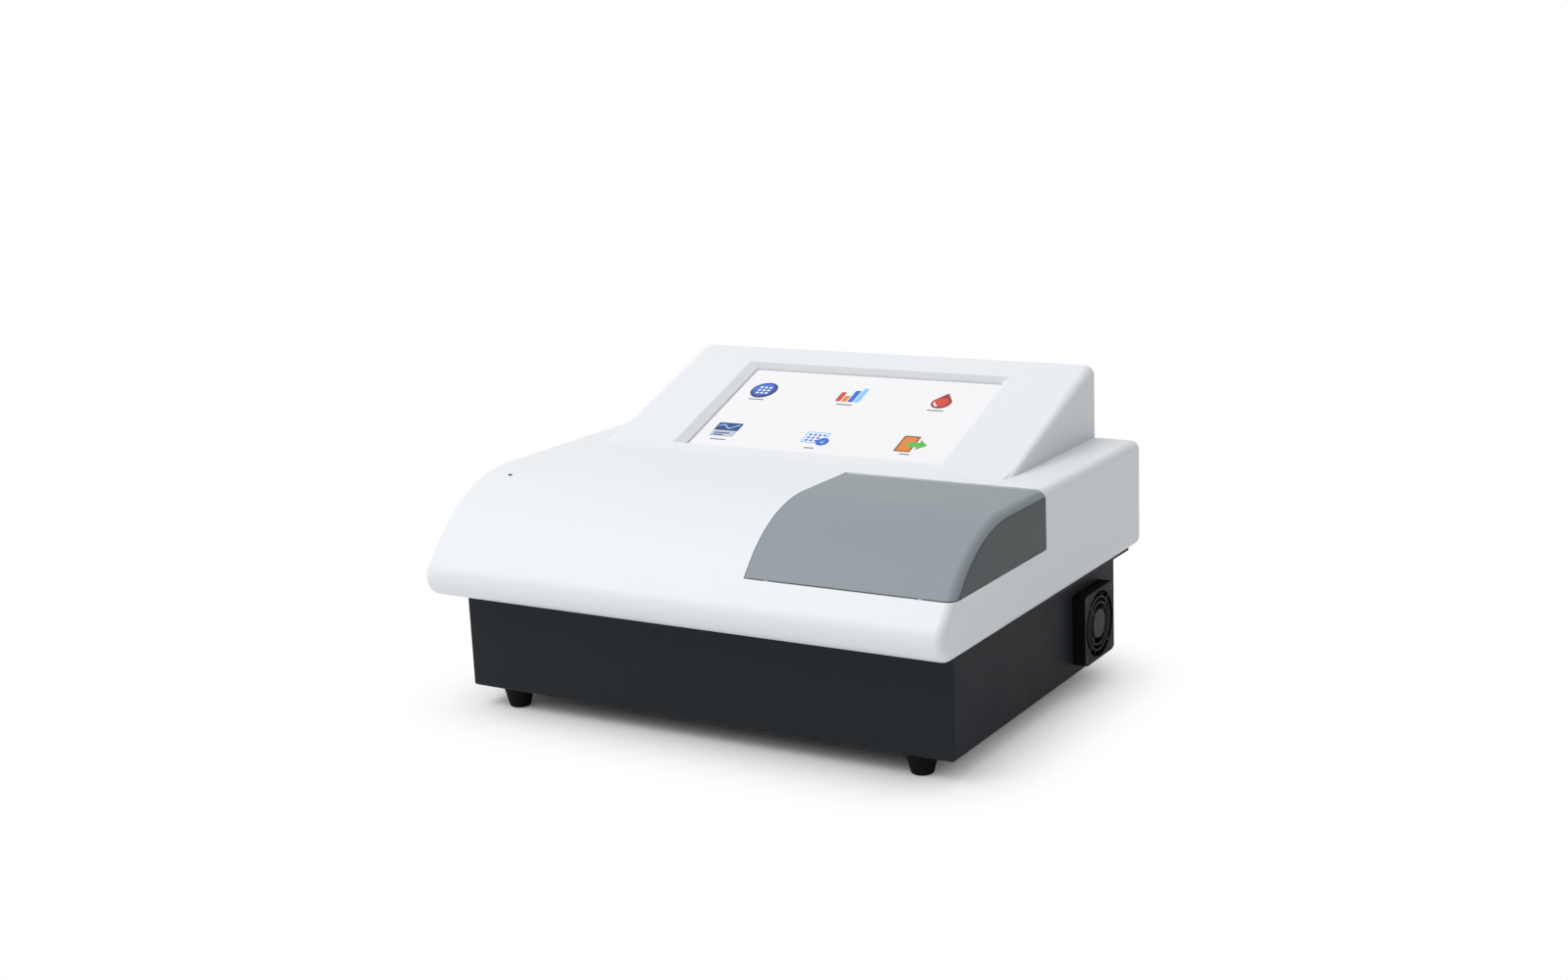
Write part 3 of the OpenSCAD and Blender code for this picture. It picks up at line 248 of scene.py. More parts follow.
def feed(tree, value, socket):
    """Set a socket to a plain number, or link another node's output into it."""
    if isinstance(value, (int, float)):
        socket.default_value = value
    else:
        tree.links.new(value, socket)


def node(tree, kind, links=(), **settings):
    """Add a node, set its plain settings and sockets, and link sockets into it."""
    made = tree.nodes.new(kind)
    for key, value in settings.items():
        if hasattr(made, key):
            setattr(made, key, value)
        else:
            made.inputs[key.replace("_", " ")].default_value = value
    for key, source in dict(links).items():
        tree.links.new(source, made.inputs[key])
    return made


def math_node(tree, operation, *values):
    """Output of a math node on plain numbers or other nodes' outputs."""
    made = tree.nodes.new("ShaderNodeMath")
    made.operation = operation
    for socket, value in zip(made.inputs, values):
        feed(tree, value, socket)
    return made.outputs[0]


def object_place(tree):
    """The object's own coordinates."""
    return tree.nodes.new("ShaderNodeTexCoord").outputs["Object"]


def noise(tree, vector, scale, detail):
    """Soft noise from 0 to 1."""
    made = node(tree, "ShaderNodeTexNoise", {"Vector": vector}, Detail=detail)
    feed(tree, scale, made.inputs["Scale"])
    return made.outputs["Fac"]


# Shader node groups

SURFACE_IN = {
    "Color": ("Color", (0.5, 0.5, 0.5, 1)), "Colour Drift": ("Float", 0.05),
    "Roughness": ("Float", 0.5), "Roughness Drift": ("Float", 0.1), "Grain Scale": ("Float", 1400.0),
}
SURFACE_OUT = {"Color": ("Color", None), "Roughness": ("Float", None), "Height": ("Float", None)}


def surface_group(name, **extra):
    """The start of a surface group: its tree, inputs, outputs and the object's coordinates."""
    tree, start, end = new_group(name, {**SURFACE_IN, **extra}, SURFACE_OUT)
    return tree, start.outputs, end.inputs, object_place(tree)


def close_surface(tree, given, out, tint, gloss, height):
    """Wire the outputs: tint moves the colour's value round 0.5, gloss moves the roughness round 0."""
    swing = math_node(tree, "MULTIPLY", math_node(tree, "SUBTRACT", tint, 0.5), given["Colour Drift"])
    shifted = node(tree, "ShaderNodeHueSaturation", {
        "Value": math_node(tree, "ADD", swing, 1.0), "Color": given["Color"]})
    tree.links.new(shifted.outputs["Color"], out["Color"])
    swing = math_node(tree, "MULTIPLY", gloss, given["Roughness Drift"])
    tree.links.new(math_node(tree, "ADD", swing, given["Roughness"]), out["Roughness"])
    tree.links.new(height, out["Height"])
    return tree


def moulded_group():
    """Fine spark-eroded grain with a slow drift of colour and gloss."""
    tree, given, out, at = surface_group("Moulded grain")
    gloss = math_node(tree, "SUBTRACT", noise(tree, at, 38.0, 4.0), 0.5)
    grain = noise(tree, at, given["Grain Scale"], 3.0)
    return close_surface(tree, given, out, noise(tree, at, 7.0, 3.0), gloss, grain)


def brushed_group():
    """Grain drawn out along one direction, as on rolled, ground or turned metal."""
    tree, given, out, at = surface_group("Brushed grain", Stretch=("Vector", (1, 1, 1)))
    drawn = node(tree, "ShaderNodeVectorMath", {0: at, 1: given["Stretch"]}, operation="MULTIPLY")
    lines = noise(tree, drawn.outputs[0], given["Grain Scale"], 4.0)
    gloss = math_node(tree, "SUBTRACT", noise(tree, at, 25.0, 3.0), 0.5)
    return close_surface(tree, given, out, lines, gloss, lines)


def board_group():
    """Solder mask over copper tracks, with the tracks a little lighter and raised."""
    tree, given, out, at = surface_group("Board tracks")
    bricks = node(tree, "ShaderNodeTexBrick", {"Vector": at}, Scale=90.0, Mortar_Size=0.03, Bias=0.0,
                  Brick_Width=1.7, Row_Height=0.22)
    track = math_node(tree, "SUBTRACT", 1.0, bricks.outputs["Fac"])
    lighter = math_node(tree, "MULTIPLY", track, -0.35)
    tint = math_node(tree, "ADD", lighter, noise(tree, at, 60.0, 2.0))
    return close_surface(tree, given, out, tint, track, track)


GROUPS = {"moulded": moulded_group, "brushed": brushed_group, "board": board_group}
_groups = {}
_materials = {}


def finish(name, kind, color, roughness, depth, scale, drift, rough_drift, stretch=None, **shader):
    """A material: one node group for what varies, and plain numbers on the shader's own sockets. The
    grain's depth is in millimetres, and the drifts move colour and roughness over the surface."""
    if kind not in _groups:
        _groups[kind] = GROUPS[kind]()
    mat = bpy.data.materials.new(name)
    mat.use_nodes = True
    tree = mat.node_tree
    principled = tree.nodes["Principled BSDF"]
    group = tree.nodes.new("ShaderNodeGroup")
    group.node_tree = _groups[kind]
    values = {"Color": (*color[:3], 1), "Colour Drift": drift, "Roughness": roughness,
              "Roughness Drift": rough_drift, "Grain Scale": scale}
    if stretch:
        values["Stretch"] = stretch
    for socket, value in values.items():
        group.inputs[socket].default_value = value
    bump = node(tree, "ShaderNodeBump", {"Height": group.outputs["Height"]},
                Strength=0.5, Distance=depth * MM)
    tree.links.new(group.outputs["Color"], principled.inputs["Base Color"])
    tree.links.new(group.outputs["Roughness"], principled.inputs["Roughness"])
    tree.links.new(bump.outputs["Normal"], principled.inputs["Normal"])
    for socket, value in shader.items():
        principled.inputs[socket.replace("_", " ").title().replace("Ior", "IOR")].default_value = value
    mat.diffuse_color = (*color[:3], 1)
    _materials[name] = mat


ALONG_X, ALONG_Y, ALONG_Z = (0.04, 1, 1), (1, 0.04, 1), (1, 1, 0.04)


def materials():
    """Every finish of the object."""
    cover, base, screen = look("cover"), look("base"), look("screen")
    # Each has its name, kind, colour, roughness, grain depth, grain scale, colour drift and roughness
    # drift, then the way its grain runs and what else is set on the shader
    finish("white_cover", "moulded", cover.cover_color, cover.cover_roughness, 0.012, 1500, 0.018, 0.08,
           specular_ior_level=0.48)
    finish("lid_grey", "moulded", cover.lid_color, cover.lid_roughness, 0.01, 1700, 0.03, 0.08,
           specular_ior_level=0.25)
    # Painted shade: the lid's own finish again, only darker, for its right side that lies in shade
    finish("lid_painted_shade", "moulded", cover.lid_side_color, cover.lid_roughness, 0.01, 1700, 0.03, 0.08,
           specular_ior_level=0.2)
    finish("black_sheet", "moulded", base.base_color, 0.5, 0.02, 1100, 0.12, 0.12,
           specular_ior_level=0.1)
    finish("liner_black", "moulded", (0.03, 0.031, 0.034), 0.55, 0.02, 1300, 0.1, 0.1)
    finish("foot_rubber", "moulded", base.rubber_color, 0.68, 0.03, 900, 0.15, 0.12,
           specular_ior_level=0.1)
    finish("seal_grey", "moulded", (0.58, 0.59, 0.6), 0.6, 0.01, 1500, 0.06, 0.1)
    finish("fan_plastic", "moulded", base.plastic_color, 0.47, 0.012, 1500, 0.1, 0.1,
           specular_ior_level=0.1)
    # Lighter grey of the guard: the disc's own tone, and on the rings and spokes a painted highlight
    finish("guard_grey_and_highlight", "moulded", base.guard_color, 0.47, 0.012, 1500, 0.1, 0.1,
           specular_ior_level=0.12)
    finish("screw_steel", "brushed", (0.5, 0.5, 0.51), 0.3, 0.004, 1600, 0.15, 0.12,
           (1, 1, 0.3), metallic=1.0)
    finish("rod_steel", "brushed", (0.62, 0.62, 0.63), 0.16, 0.002, 1800, 0.08, 0.08, ALONG_Y, metallic=1.0)
    finish("black_screw", "brushed", (0.035, 0.035, 0.038), 0.38, 0.004, 1600, 0.2, 0.12,
           (1, 1, 0.3), metallic=1.0)
    finish("alloy", "brushed", (0.58, 0.585, 0.6), 0.38, 0.006, 1500, 0.1, 0.12, ALONG_Y, metallic=1.0)
    finish("alloy_x", "brushed", (0.56, 0.565, 0.58), 0.36, 0.006, 1500, 0.1, 0.12, ALONG_X, metallic=1.0)
    finish("motor_black", "brushed", (0.045, 0.045, 0.05), 0.4, 0.006, 1300, 0.2, 0.12,
           ALONG_Z, metallic=0.6)
    finish("bush_bronze", "brushed", (0.55, 0.36, 0.17), 0.4, 0.004, 1500, 0.15, 0.1, ALONG_Y, metallic=1.0)
    finish("board_green", "board", (0.02, 0.13, 0.055), 0.34, 0.03, 1400, 0.5, 0.08)
    finish("chip_black", "moulded", (0.022, 0.022, 0.024), 0.5, 0.01, 1800, 0.15, 0.1)
    finish("panel_metal", "brushed", (0.42, 0.43, 0.44), 0.42, 0.006, 1500, 0.12, 0.1,
           ALONG_X, metallic=0.8)
    finish("screen_glass", "moulded", (0.4, 0.4, 0.405), 0.14, 0.001, 500, 0.01, 0.03,
           emission_color=(0.96, 0.95, 0.98, 1), emission_strength=screen.glow)
    finish("clear_glass", "moulded", (0.9, 0.94, 0.97), 0.04, 0.001, 400, 0.02, 0.02, ior=1.5, alpha=0.45)
    finish("filter_glass", "moulded", (0.25, 0.12, 0.5), 0.06, 0.001, 400, 0.3, 0.02, metallic=0.35)
    finish("guide_plastic", "moulded", (0.7, 0.68, 0.56), 0.2, 0.004, 700, 0.08, 0.06)


# Mesh helpers

def add_object(name, mesh):
    """A new object in the scene, of a mesh, a lamp or a camera."""
    piece = bpy.data.objects.new(name, mesh)
    bpy.context.scene.collection.objects.link(piece)
    return piece


def take_mesh(name, bm):
    """Turn a bmesh into a mesh and free it."""
    mesh = bpy.data.meshes.new(name)
    bm.to_mesh(mesh)
    bm.free()
    return mesh


def shade(bm, angle=SHADE_ANGLE):
    """Shade smooth but for the edges that turn by the angle or more."""
    for face in bm.faces:
        face.smooth = True
    for edge in bm.edges:
        edge.smooth = len(edge.link_faces) == 2 and edge.calc_face_angle(0) < math.radians(angle)


def mount(piece, body="housing", nodes=()):
    """Put a finished piece on its body, and hide the CAD nodes that it stands for."""
    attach(piece, body)
    if nodes:
        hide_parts(*nodes)
    return piece


def mesh_piece(name, bm, material, body="housing", nodes=(), angle=SHADE_ANGLE):
    """Turn a bmesh into a smooth-shaded piece with area-weighted normals that rides on a body."""
    shade(bm, angle)
    piece = add_object(name, take_mesh(name, bm))
    piece.data.materials.append(_materials[material])
    weighted = piece.modifiers.new("Weighted normals", "WEIGHTED_NORMAL")
    weighted.keep_sharp = True
    weighted.weight = NORMAL_WEIGHT
    plain(piece)
    return mount(piece, body, nodes)


def plain(piece):
    """Apply what the modifiers make and remove them."""
    graph = bpy.context.evaluated_depsgraph_get()
    graph.update()
    mesh = bpy.data.meshes.new_from_object(
        piece.evaluated_get(graph), preserve_all_data_layers=True, depsgraph=graph)
    piece.modifiers.clear()
    piece.data = mesh


def welded(node_name):
    """A CAD node's mesh as a bmesh with its loose triangles joined."""
    bm = bmesh.new()
    bm.from_mesh(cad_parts[node_name].data)
    bmesh.ops.remove_doubles(bm, verts=bm.verts, dist=MERGE)
    return bm


def linked(things, neighbours):
    """Groups of things that hang together, always in the same order."""
    left, found = set(things), []
    for first in things:
        if first in left:
            left.remove(first)
            group = [first]
            for thing in group:
                for other in neighbours(thing):
                    if other in left:
                        left.remove(other)
                        group.append(other)
            found.append(group)
    return found


def face_depth(edge, face):
    """How far a face reaches away from one of its edges."""
    start = edge.verts[0].co
    along = (edge.verts[1].co - start).normalized()
    return max((v.co - start).cross(along).length for v in face.verts)


def soften(bm, radius, room):
    """Put a small radius on the sharp edges with room for it, chain by chain, merge what then lies
    together, and tell whether an edge had room and the shape is still closed."""
    space = {v: min(e.calc_length() for e in v.link_edges) for v in bm.verts}
    sharp = [e for e in bm.edges if radius and len(e.link_faces) == 2 and e.calc_face_angle(0) > SHARP
             and min(space[v] for v in e.verts) > room * radius
             and min(face_depth(e, f) for f in e.link_faces) > FACE_ROOM * radius]
    for chain in linked(sharp, lambda edge: [e for v in edge.verts for e in v.link_edges]):
        bmesh.ops.bevel(bm, geom=chain, offset=radius, offset_type="OFFSET", segments=2, profile=0.6,
                        affect="EDGES", clamp_overlap=True, loop_slide=True)
    bmesh.ops.remove_doubles(bm, verts=bm.verts, dist=MERGE)
    bmesh.ops.dissolve_degenerate(bm, dist=MERGE, edges=bm.edges)
    bmesh.ops.triangulate(bm, faces=[f for f in bm.faces if len(f.verts) > 4])
    return bool(sharp) and all(len(e.link_faces) == 2 for e in bm.edges)


def refine(node_name, name, slot, width, body="housing", material=None):
    """A copy of a CAD node with its points merged and a small radius on its sharp edges. Its material
    has the slot's name unless another is given."""
    source = welded(node_name)
    bmesh.ops.dissolve_limit(source, angle_limit=FLAT, verts=source.verts, edges=source.edges)
    for share, room in EDGE_TRIES:
        bm = source.copy()
        if soften(bm, share * width, room) or not share:
            break
        bm.free()
    source.free()
    return mesh_piece(name, bm, material or slot, body, [node_name])


def give(material, *nodes):
    """Dress CAD nodes that keep their own shape."""
    for name in nodes:
        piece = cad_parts[name]
        if not piece.material_slots:
            piece.data.materials.append(_materials[material])
        for slot in piece.material_slots:
            slot.material = _materials[material]


def prism(bm, points, low, high, place, material=0):
    """Close an outline, given counter-clockwise in the plane, into a plate from low to high."""
    bottom = [bm.verts.new(place(x, y, low)) for x, y in points]
    top = [bm.verts.new(place(x, y, high)) for x, y in points]
    faces = [bm.faces.new(top), bm.faces.new(bottom[::-1])]
    for i in range(len(points)):
        j = (i + 1) % len(points)
        faces.append(bm.faces.new((bottom[i], bottom[j], top[j], top[i])))
    for face in faces:
        face.material_index = material
    return faces


def lathe(bm, profile, steps, place):
    """Turn a profile of (radius, height) about an axis; place maps local x, y, z to the object."""
    rings = []
    for radius, height in profile:
        if radius < TINY:
            rings.append([bm.verts.new(place(0, 0, height))])
        else:
            rings.append([bm.verts.new(place(radius * math.cos(a), radius * math.sin(a), height))
                          for a in (2 * math.pi * i / steps for i in range(steps))])
    for low, high in zip(rings, rings[1:]):
        for i in range(steps):
            j = (i + 1) % steps
            a, b = low[i % len(low)], low[j % len(low)]
            c, d = high[j % len(high)], high[i % len(high)]
            corners = [v for k, v in enumerate((a, b, c, d)) if v not in (a, b, c, d)[:k]]
            bm.faces.new(corners)
    bmesh.ops.recalc_face_normals(bm, faces=bm.faces)


# Screws: one mesh per kind, set out by geometry nodes

def cross_outline(reach, half):
    """Points of a cross-shaped driver recess, and the angle of the first one."""
    points = []
    for turn in range(4):
        c, n = math.cos(turn * math.pi / 2), math.sin(turn * math.pi / 2)
        points += [(x * c - y * n, x * n + y * c) for x, y in ((reach, -half), (reach, half), (half, half))]
    out = []
    for p, q in zip(points, points[1:] + points[:1]):
        out += [p, ((p[0] + q[0]) / 2, (p[1] + q[1]) / 2)]
    return out, -math.atan2(half, reach)


def screw_mesh(name, head_r, head_h, shank_r, shank_l, head):
    """A screw standing on its head's seat at z 0, its shank pointing down."""
    crown, draw_in = head
    outline, start = cross_outline(head_r * CROSS_REACH, head_r * CROSS_HALF)
    turns = [start + 2 * math.pi * i / SCREW_STEPS for i in range(SCREW_STEPS)]
    bm = bmesh.new()

    def ring(radius, z):
        return [bm.verts.new((radius * math.cos(a), radius * math.sin(a), z)) for a in turns]

    rings = [ring(shank_r * 0.7, -shank_l), ring(shank_r, -shank_l + shank_r * 0.4), ring(shank_r, 0),
             ring(head_r * 0.97, 0), ring(head_r, head_h * 0.08)]
    for a in (math.pi / 8, math.pi / 4, math.pi * 3 / 8, math.pi / 2):
        radius = head_r * (1 - draw_in * (1 - math.cos(a)))
        rings.append(ring(radius, head_h * (1 - crown + crown * math.sin(a))))
    top = [bm.verts.new((x, y, head_h)) for x, y in outline]
    deep = [bm.verts.new((x * CROSS_TAPER, y * CROSS_TAPER, head_h * CROSS_FLOOR)) for x, y in outline]
    rings += [top, deep]
    bm.faces.new(rings[0][::-1])
    for low, high in zip(rings, rings[1:]):
        for i in range(SCREW_STEPS):
            j = (i + 1) % SCREW_STEPS
            bm.faces.new((low[i], low[j], high[j], high[i]))
    bm.faces.new(deep)
    bmesh.ops.recalc_face_normals(bm, faces=bm.faces)
    shade(bm)
    return take_mesh(name, bm)


def fastener_tree():
    """Set a fastener on every point, its axis along a given direction and turned by chance."""
    tree, start, end = new_group("Set out fasteners", {
        "Geometry": ("Geometry", None), "Fastener": ("Object", None), "Axis": ("Vector", (0, 0, 1)),
        "Seed": ("Int", SEED), "Material": ("Material", None),
    }, {"Geometry": ("Geometry", None)}, "GeometryNodeTree")
    info = node(tree, "GeometryNodeObjectInfo", {"Object": start.outputs["Fastener"]})
    aim = node(tree, "FunctionNodeAlignRotationToVector", {"Vector": start.outputs["Axis"]}, axis="Z")
    turn = node(tree, "FunctionNodeRandomValue", {"Seed": start.outputs["Seed"]}, data_type="FLOAT")
    turn.inputs[3].default_value = FULL_TURN
    about = node(tree, "FunctionNodeAxisAngleToRotation", {"Angle": turn.outputs[1]})
    both = node(tree, "FunctionNodeRotateRotation", {
        "Rotation": aim.outputs[0], "Rotate By": about.outputs[0]}, rotation_space="LOCAL")
    points = node(tree, "GeometryNodeMeshToPoints", {"Mesh": start.outputs["Geometry"]})
    placed = node(tree, "GeometryNodeInstanceOnPoints", {
        "Points": points.outputs[0], "Instance": info.outputs["Geometry"], "Rotation": both.outputs[0]})
    real = node(tree, "GeometryNodeRealizeInstances", {"Geometry": placed.outputs[0]})
    painted = node(tree, "GeometryNodeSetMaterial", {
        "Geometry": real.outputs[0], "Material": start.outputs["Material"]})
    tree.links.new(painted.outputs[0], end.inputs["Geometry"])
    return tree


def grow(piece, tree, **inputs):
    """Run a geometry node tree on a piece with values by socket name, and keep the result as its mesh."""
    modifier = piece.modifiers.new(tree.name, "NODES")
    modifier.node_group = tree
    for item in tree.interface.items_tree:
        if item.item_type == "SOCKET" and item.in_out == "INPUT" and item.name in inputs:
            modifier[item.identifier] = inputs[item.name]
    piece.update_tag()
    bpy.context.view_layer.update()
    plain(piece)
    mesh = piece.data
    mesh.materials.clear()
    mesh.materials.append(inputs["Material"])
    mesh.polygons.foreach_set("material_index", [0] * len(mesh.polygons))


def fasteners(name, points, axis, screw, material, nodes=()):
    """Screws of one kind on a list of points."""
    if "fasteners" not in _groups:
        _groups["fasteners"] = fastener_tree()
    source = bpy.data.objects.new(name + "_source", screw_mesh(name + "_source", *screw))
    mesh = bpy.data.meshes.new(name)
    mesh.from_pydata([tuple(p) for p in points], [], [])
    piece = add_object(name, mesh)
    grow(piece, _groups["fasteners"], Fastener=source, Axis=axis, Seed=SEED, Material=_materials[material])
    bpy.data.objects.remove(source)
    mount(piece, nodes=nodes)


def islands(node_name):
    """Low and high corners of every loose part of a CAD node."""
    bm = welded(node_name)
    parts = linked(list(bm.verts), lambda vert: [v for e in vert.link_edges for v in e.verts])
    found = [tuple(Vector([pick(v.co[k] for v in part) for k in range(3)]) for pick in (min, max))
             for part in parts]
    bm.free()
    return found


def screws_of(node_name, name, axis, head_h, shank):
    """Stand real screws on the places of a CAD node's screws that run along an axis. The first kind
    along Z stands for the node."""
    k = [abs(a) for a in axis].index(1)
    groups = {}
    for low, high in islands(node_name):
        size = high - low
        if max(size) == size[k]:
            head = min(head_h, size[k] / 2)
            seat = (low + high) / 2
            seat[k] = high[k] - head if axis[k] > 0 else low[k] + head
            kind = (round(size[(k + 1) % 3] / 2, 5), round(size[k] - head, 4))
            groups.setdefault(kind, []).append(seat)
    for number, ((radius, length), seats) in enumerate(sorted(groups.items()), 1):
        screw = (radius, head_h, radius * shank, length, DOMED_HEAD)
        fasteners("%s_%d" % (name, number), seats, axis, screw, "screw_steel",
                  [node_name] if number == 1 and axis[2] else [])


# Pictograms of the touch screen

def arc_points(cx, cy, r, a0=0.0, a1=360.0, steps=32):
    """Points of an arc or a whole circle, between two angles in degrees."""
    closed = abs(a1 - a0) >= 360
    count = steps if closed else steps + 1
    return [(cx + r * math.cos(math.radians(a0 + (a1 - a0) * i / steps)),
             cy + r * math.sin(math.radians(a0 + (a1 - a0) * i / steps))) for i in range(count)]


def soft_box(x0, y0, x1, y1, r):
    """Outline of a box with round corners."""
    return (arc_points(x1 - r, y1 - r, r, 0, 90, 6) + arc_points(x0 + r, y1 - r, r, 90, 180, 6)
            + arc_points(x0 + r, y0 + r, r, 180, 270, 6) + arc_points(x1 - r, y0 + r, r, 270, 360, 6))


def pictograms():
    """Outlines of each pictogram in a square from -1 to 1, as (ink, outline), later ones on top."""
    navy, blue, sky, white, pale = "ink_navy", "ink_blue", "ink_sky", "ink_white", "ink_pale"
    orange, brown, red, maroon, green = "ink_orange", "ink_brown", "ink_red", "ink_maroon", "ink_green"
    dots = [(white, arc_points(x * 0.36, y * 0.36, 0.12, steps=16)) for x in (-1, 0, 1) for y in (-1, 0, 1)]
    bars = [(ink, soft_box(x - 0.2, -0.85, x + 0.2, top, 0.1)) for ink, x, top in
            ((red, -0.72, 0.35), (orange, -0.24, -0.1), (blue, 0.24, 0.62), (sky, 0.72, 0.95))]
    drop = arc_points(0, -0.22, 0.72, 150, 390, 28) + [(0.0, 1.0)]
    shine = arc_points(-0.1, -0.26, 0.45, 175, 262, 10) + arc_points(-0.1, -0.26, 0.3, 262, 175, 10)
    wave = [(-0.8 + 1.6 * i / 16, 0.38 + 0.2 * math.sin(2.6 * math.pi * i / 16)) for i in range(17)]
    wave = [(x, y - 0.07) for x, y in wave] + [(x, y + 0.08) for x, y in reversed(wave)]
    lines = [(navy, soft_box(-0.7, y - 0.06, x, y + 0.06, 0.04)) for x, y in ((0.5, -0.42), (0.1, -0.66))]
    wells = [(blue, arc_points(-0.66 + 0.36 * i, -0.32 + 0.34 * j, 0.12, steps=14))
             for i in range(4) for j in range(3) if i < 3 or j == 2]
    knob = [(blue, arc_points(0.6, -0.38, 0.46)), (white, arc_points(0.6, -0.38, 0.17, steps=20))]
    arrow = [(1.1, -0.05), (0.45, 0.55), (0.45, 0.22), (-0.3, 0.22), (-0.3, -0.32), (0.45, -0.32),
             (0.45, -0.65)]
    return [
        [(navy, arc_points(0, 0, 1.0, steps=48)), (blue, arc_points(-0.1, 0.12, 0.78, steps=40)), *dots],
        bars,
        [(maroon, drop), (red, arc_points(-0.08, -0.16, 0.56)), (white, shine)],
        [(pale, soft_box(-0.95, -0.85, 0.95, 0.2, 0.12)), (navy, soft_box(-0.95, -0.1, 0.95, 0.85, 0.12)),
         (sky, wave), *lines],
        [(sky, soft_box(-1.0, -0.62, 0.75, 0.72, 0.14)), (white, soft_box(-0.9, -0.52, 0.65, 0.62, 0.08)),
         *wells, *knob],
        [(brown, soft_box(-0.95, -0.95, 0.25, 0.95, 0.1)), (orange, soft_box(-0.8, -0.8, 0.1, 0.8, 0.06)),
         (green, arrow)],
    ]


# Centre of each pictogram in millimetres across and up the face, and its label bar's share of the width
ICON_PLACES = [(-90, 107, 1), (-7, 108, 1), (75, 108.5, 1), (-91, 44, 1), (-5, 42, 0.6), (78.5, 44, 0.6)]
INKS = {
    "ink_navy": (0.004, 0.022, 0.12), "ink_blue": (0.01, 0.085, 0.4), "ink_sky": (0.16, 0.38, 0.68),
    "ink_white": (0.56, 0.58, 0.6), "ink_pale": (0.34, 0.38, 0.43), "ink_orange": (0.5, 0.15, 0.015),
    "ink_brown": (0.2, 0.06, 0.01), "ink_red": (0.42, 0.03, 0.012), "ink_maroon": (0.2, 0.01, 0.008),
    "ink_green": (0.06, 0.32, 0.04), "ink_grey": (0.13, 0.135, 0.15),
}


def build_pictograms():
    """Thin lit shapes on the glass, one piece for each pictogram and its label bar."""
    screen = look("screen")
    for ink, color in INKS.items():
        finish(ink, "moulded", color, 0.2, 0.001, 500, 0.04, 0.03,
               emission_color=(*color, 1), emission_strength=screen.glow)
    half = screen.icon / 2
    for number, (shapes, (cx, cu, share)) in enumerate(zip(pictograms(), ICON_PLACES), 1):
        bm = bmesh.new()
        used = []
        for level, (ink, outline) in enumerate(shapes + [("ink_grey", None)]):
            if ink not in used:
                used.append(ink)
            top = GLASS_N + INK_LAYER * (1 + min(level, 2))
            if outline is None:
                w, down = share * screen.label / 2, half + LABEL_DROP
                points = soft_box(-w, -down - LABEL_HALF, w, -down + LABEL_HALF, LABEL_ROUND)
                top = GLASS_N + INK_LAYER
            else:
                points = [(x * half, y * half) for x, y in outline]
            prism(bm, points, GLASS_N + INK_GAP, top,
                  lambda x, u, n: on_face(cx * MM + x, cu * MM + u, n), used.index(ink))
        bmesh.ops.recalc_face_normals(bm, faces=bm.faces)
        name = "pictogram_%d" % number
        piece = add_object(name, take_mesh(name, bm))
        for ink in used:
            piece.data.materials.append(_materials[ink])
        mount(piece)


# Fan

def between(ends, t):
    """The value at t from the first end to the second."""
    return ends[0] + (ends[1] - ends[0]) * t


def blade_loop(fan, t, turn, half_depth):
    """One section of a blade as (along the axis, radius, angle) points, at t from root to tip."""
    root = fan.hub - 0.6 * MM
    radius = root + (fan.tip - root) * t
    pitch, sweep = math.radians(between(BLADE_PITCH, t)), math.radians(between(BLADE_SWEEP, t))
    chord, thick = between(BLADE_CHORD, t) * MM, between(BLADE_THICK, t) * MM
    last = BLADE_POINTS - 1
    reach = half_depth - 0.25 * MM
    loop = []
    for side in (1, -1):
        for j in range(BLADE_POINTS):
            s = j / last if side > 0 else 1 - j / last
            swell = 4 * s * (1 - s)
            along = (s - 0.5) * chord
            off = BLADE_CAMBER * chord * swell + side * (thick * swell ** 0.5 + 0.08 * MM)
            dx = -along * math.sin(pitch) + off * math.cos(pitch)
            dt = along * math.cos(pitch) + off * math.sin(pitch)
            loop.append((max(min(dx, reach), -reach), radius, turn + sweep + dt / radius))
    return loop


def build_rotor():
    """Hub with a rounded rim and lofted blades that twist and taper to the tip."""
    fan = look("fan")
    low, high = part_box("fan_rotor")
    mid = (low + high) / 2
    x0, x1 = low.x, high.x
    bm = bmesh.new()
    bore, floor, edge, soft = 1.6 * MM, 1.4 * MM, 1.2 * MM, 0.3 * MM
    dish = x1 - 0.25 * MM
    profile = [(0, x1 - floor), (bore, x1 - floor), (bore, x0), (fan.hub - soft, x0), (fan.hub, x0 + soft),
               (fan.hub, x1 - edge)]
    profile += [(fan.hub - edge + edge * math.cos(a), x1 - edge + edge * math.sin(a))
                for a in (math.radians(d) for d in (30, 60, 90))]
    profile += [(fan.hub * 0.62, x1), (fan.hub * 0.58, dish), (0, dish)]
    lathe(bm, profile, 48, lambda x, y, z: Vector((z, mid.y + x, mid.z + y)))
    for blade in range(fan.blades):
        turn = 2 * math.pi * blade / fan.blades
        loops = []
        for k in range(BLADE_STATIONS):
            points = blade_loop(fan, k / (BLADE_STATIONS - 1), turn, (x1 - x0) / 2)
            loops.append([bm.verts.new((mid.x + dx, mid.y + r * math.cos(a), mid.z + r * math.sin(a)))
                          for dx, r, a in points])
        bm.faces.new(loops[0][::-1])
        bm.faces.new(loops[-1])
        for root_loop, tip_loop in zip(loops, loops[1:]):
            for i in range(len(root_loop)):
                j = (i + 1) % len(root_loop)
                bm.faces.new((root_loop[i], root_loop[j], tip_loop[j], tip_loop[i]))
    bmesh.ops.recalc_face_normals(bm, faces=bm.faces)
    mesh_piece("rotor_blades", bm, "fan_plastic", "fan_blades", ["fan_rotor"], 50)


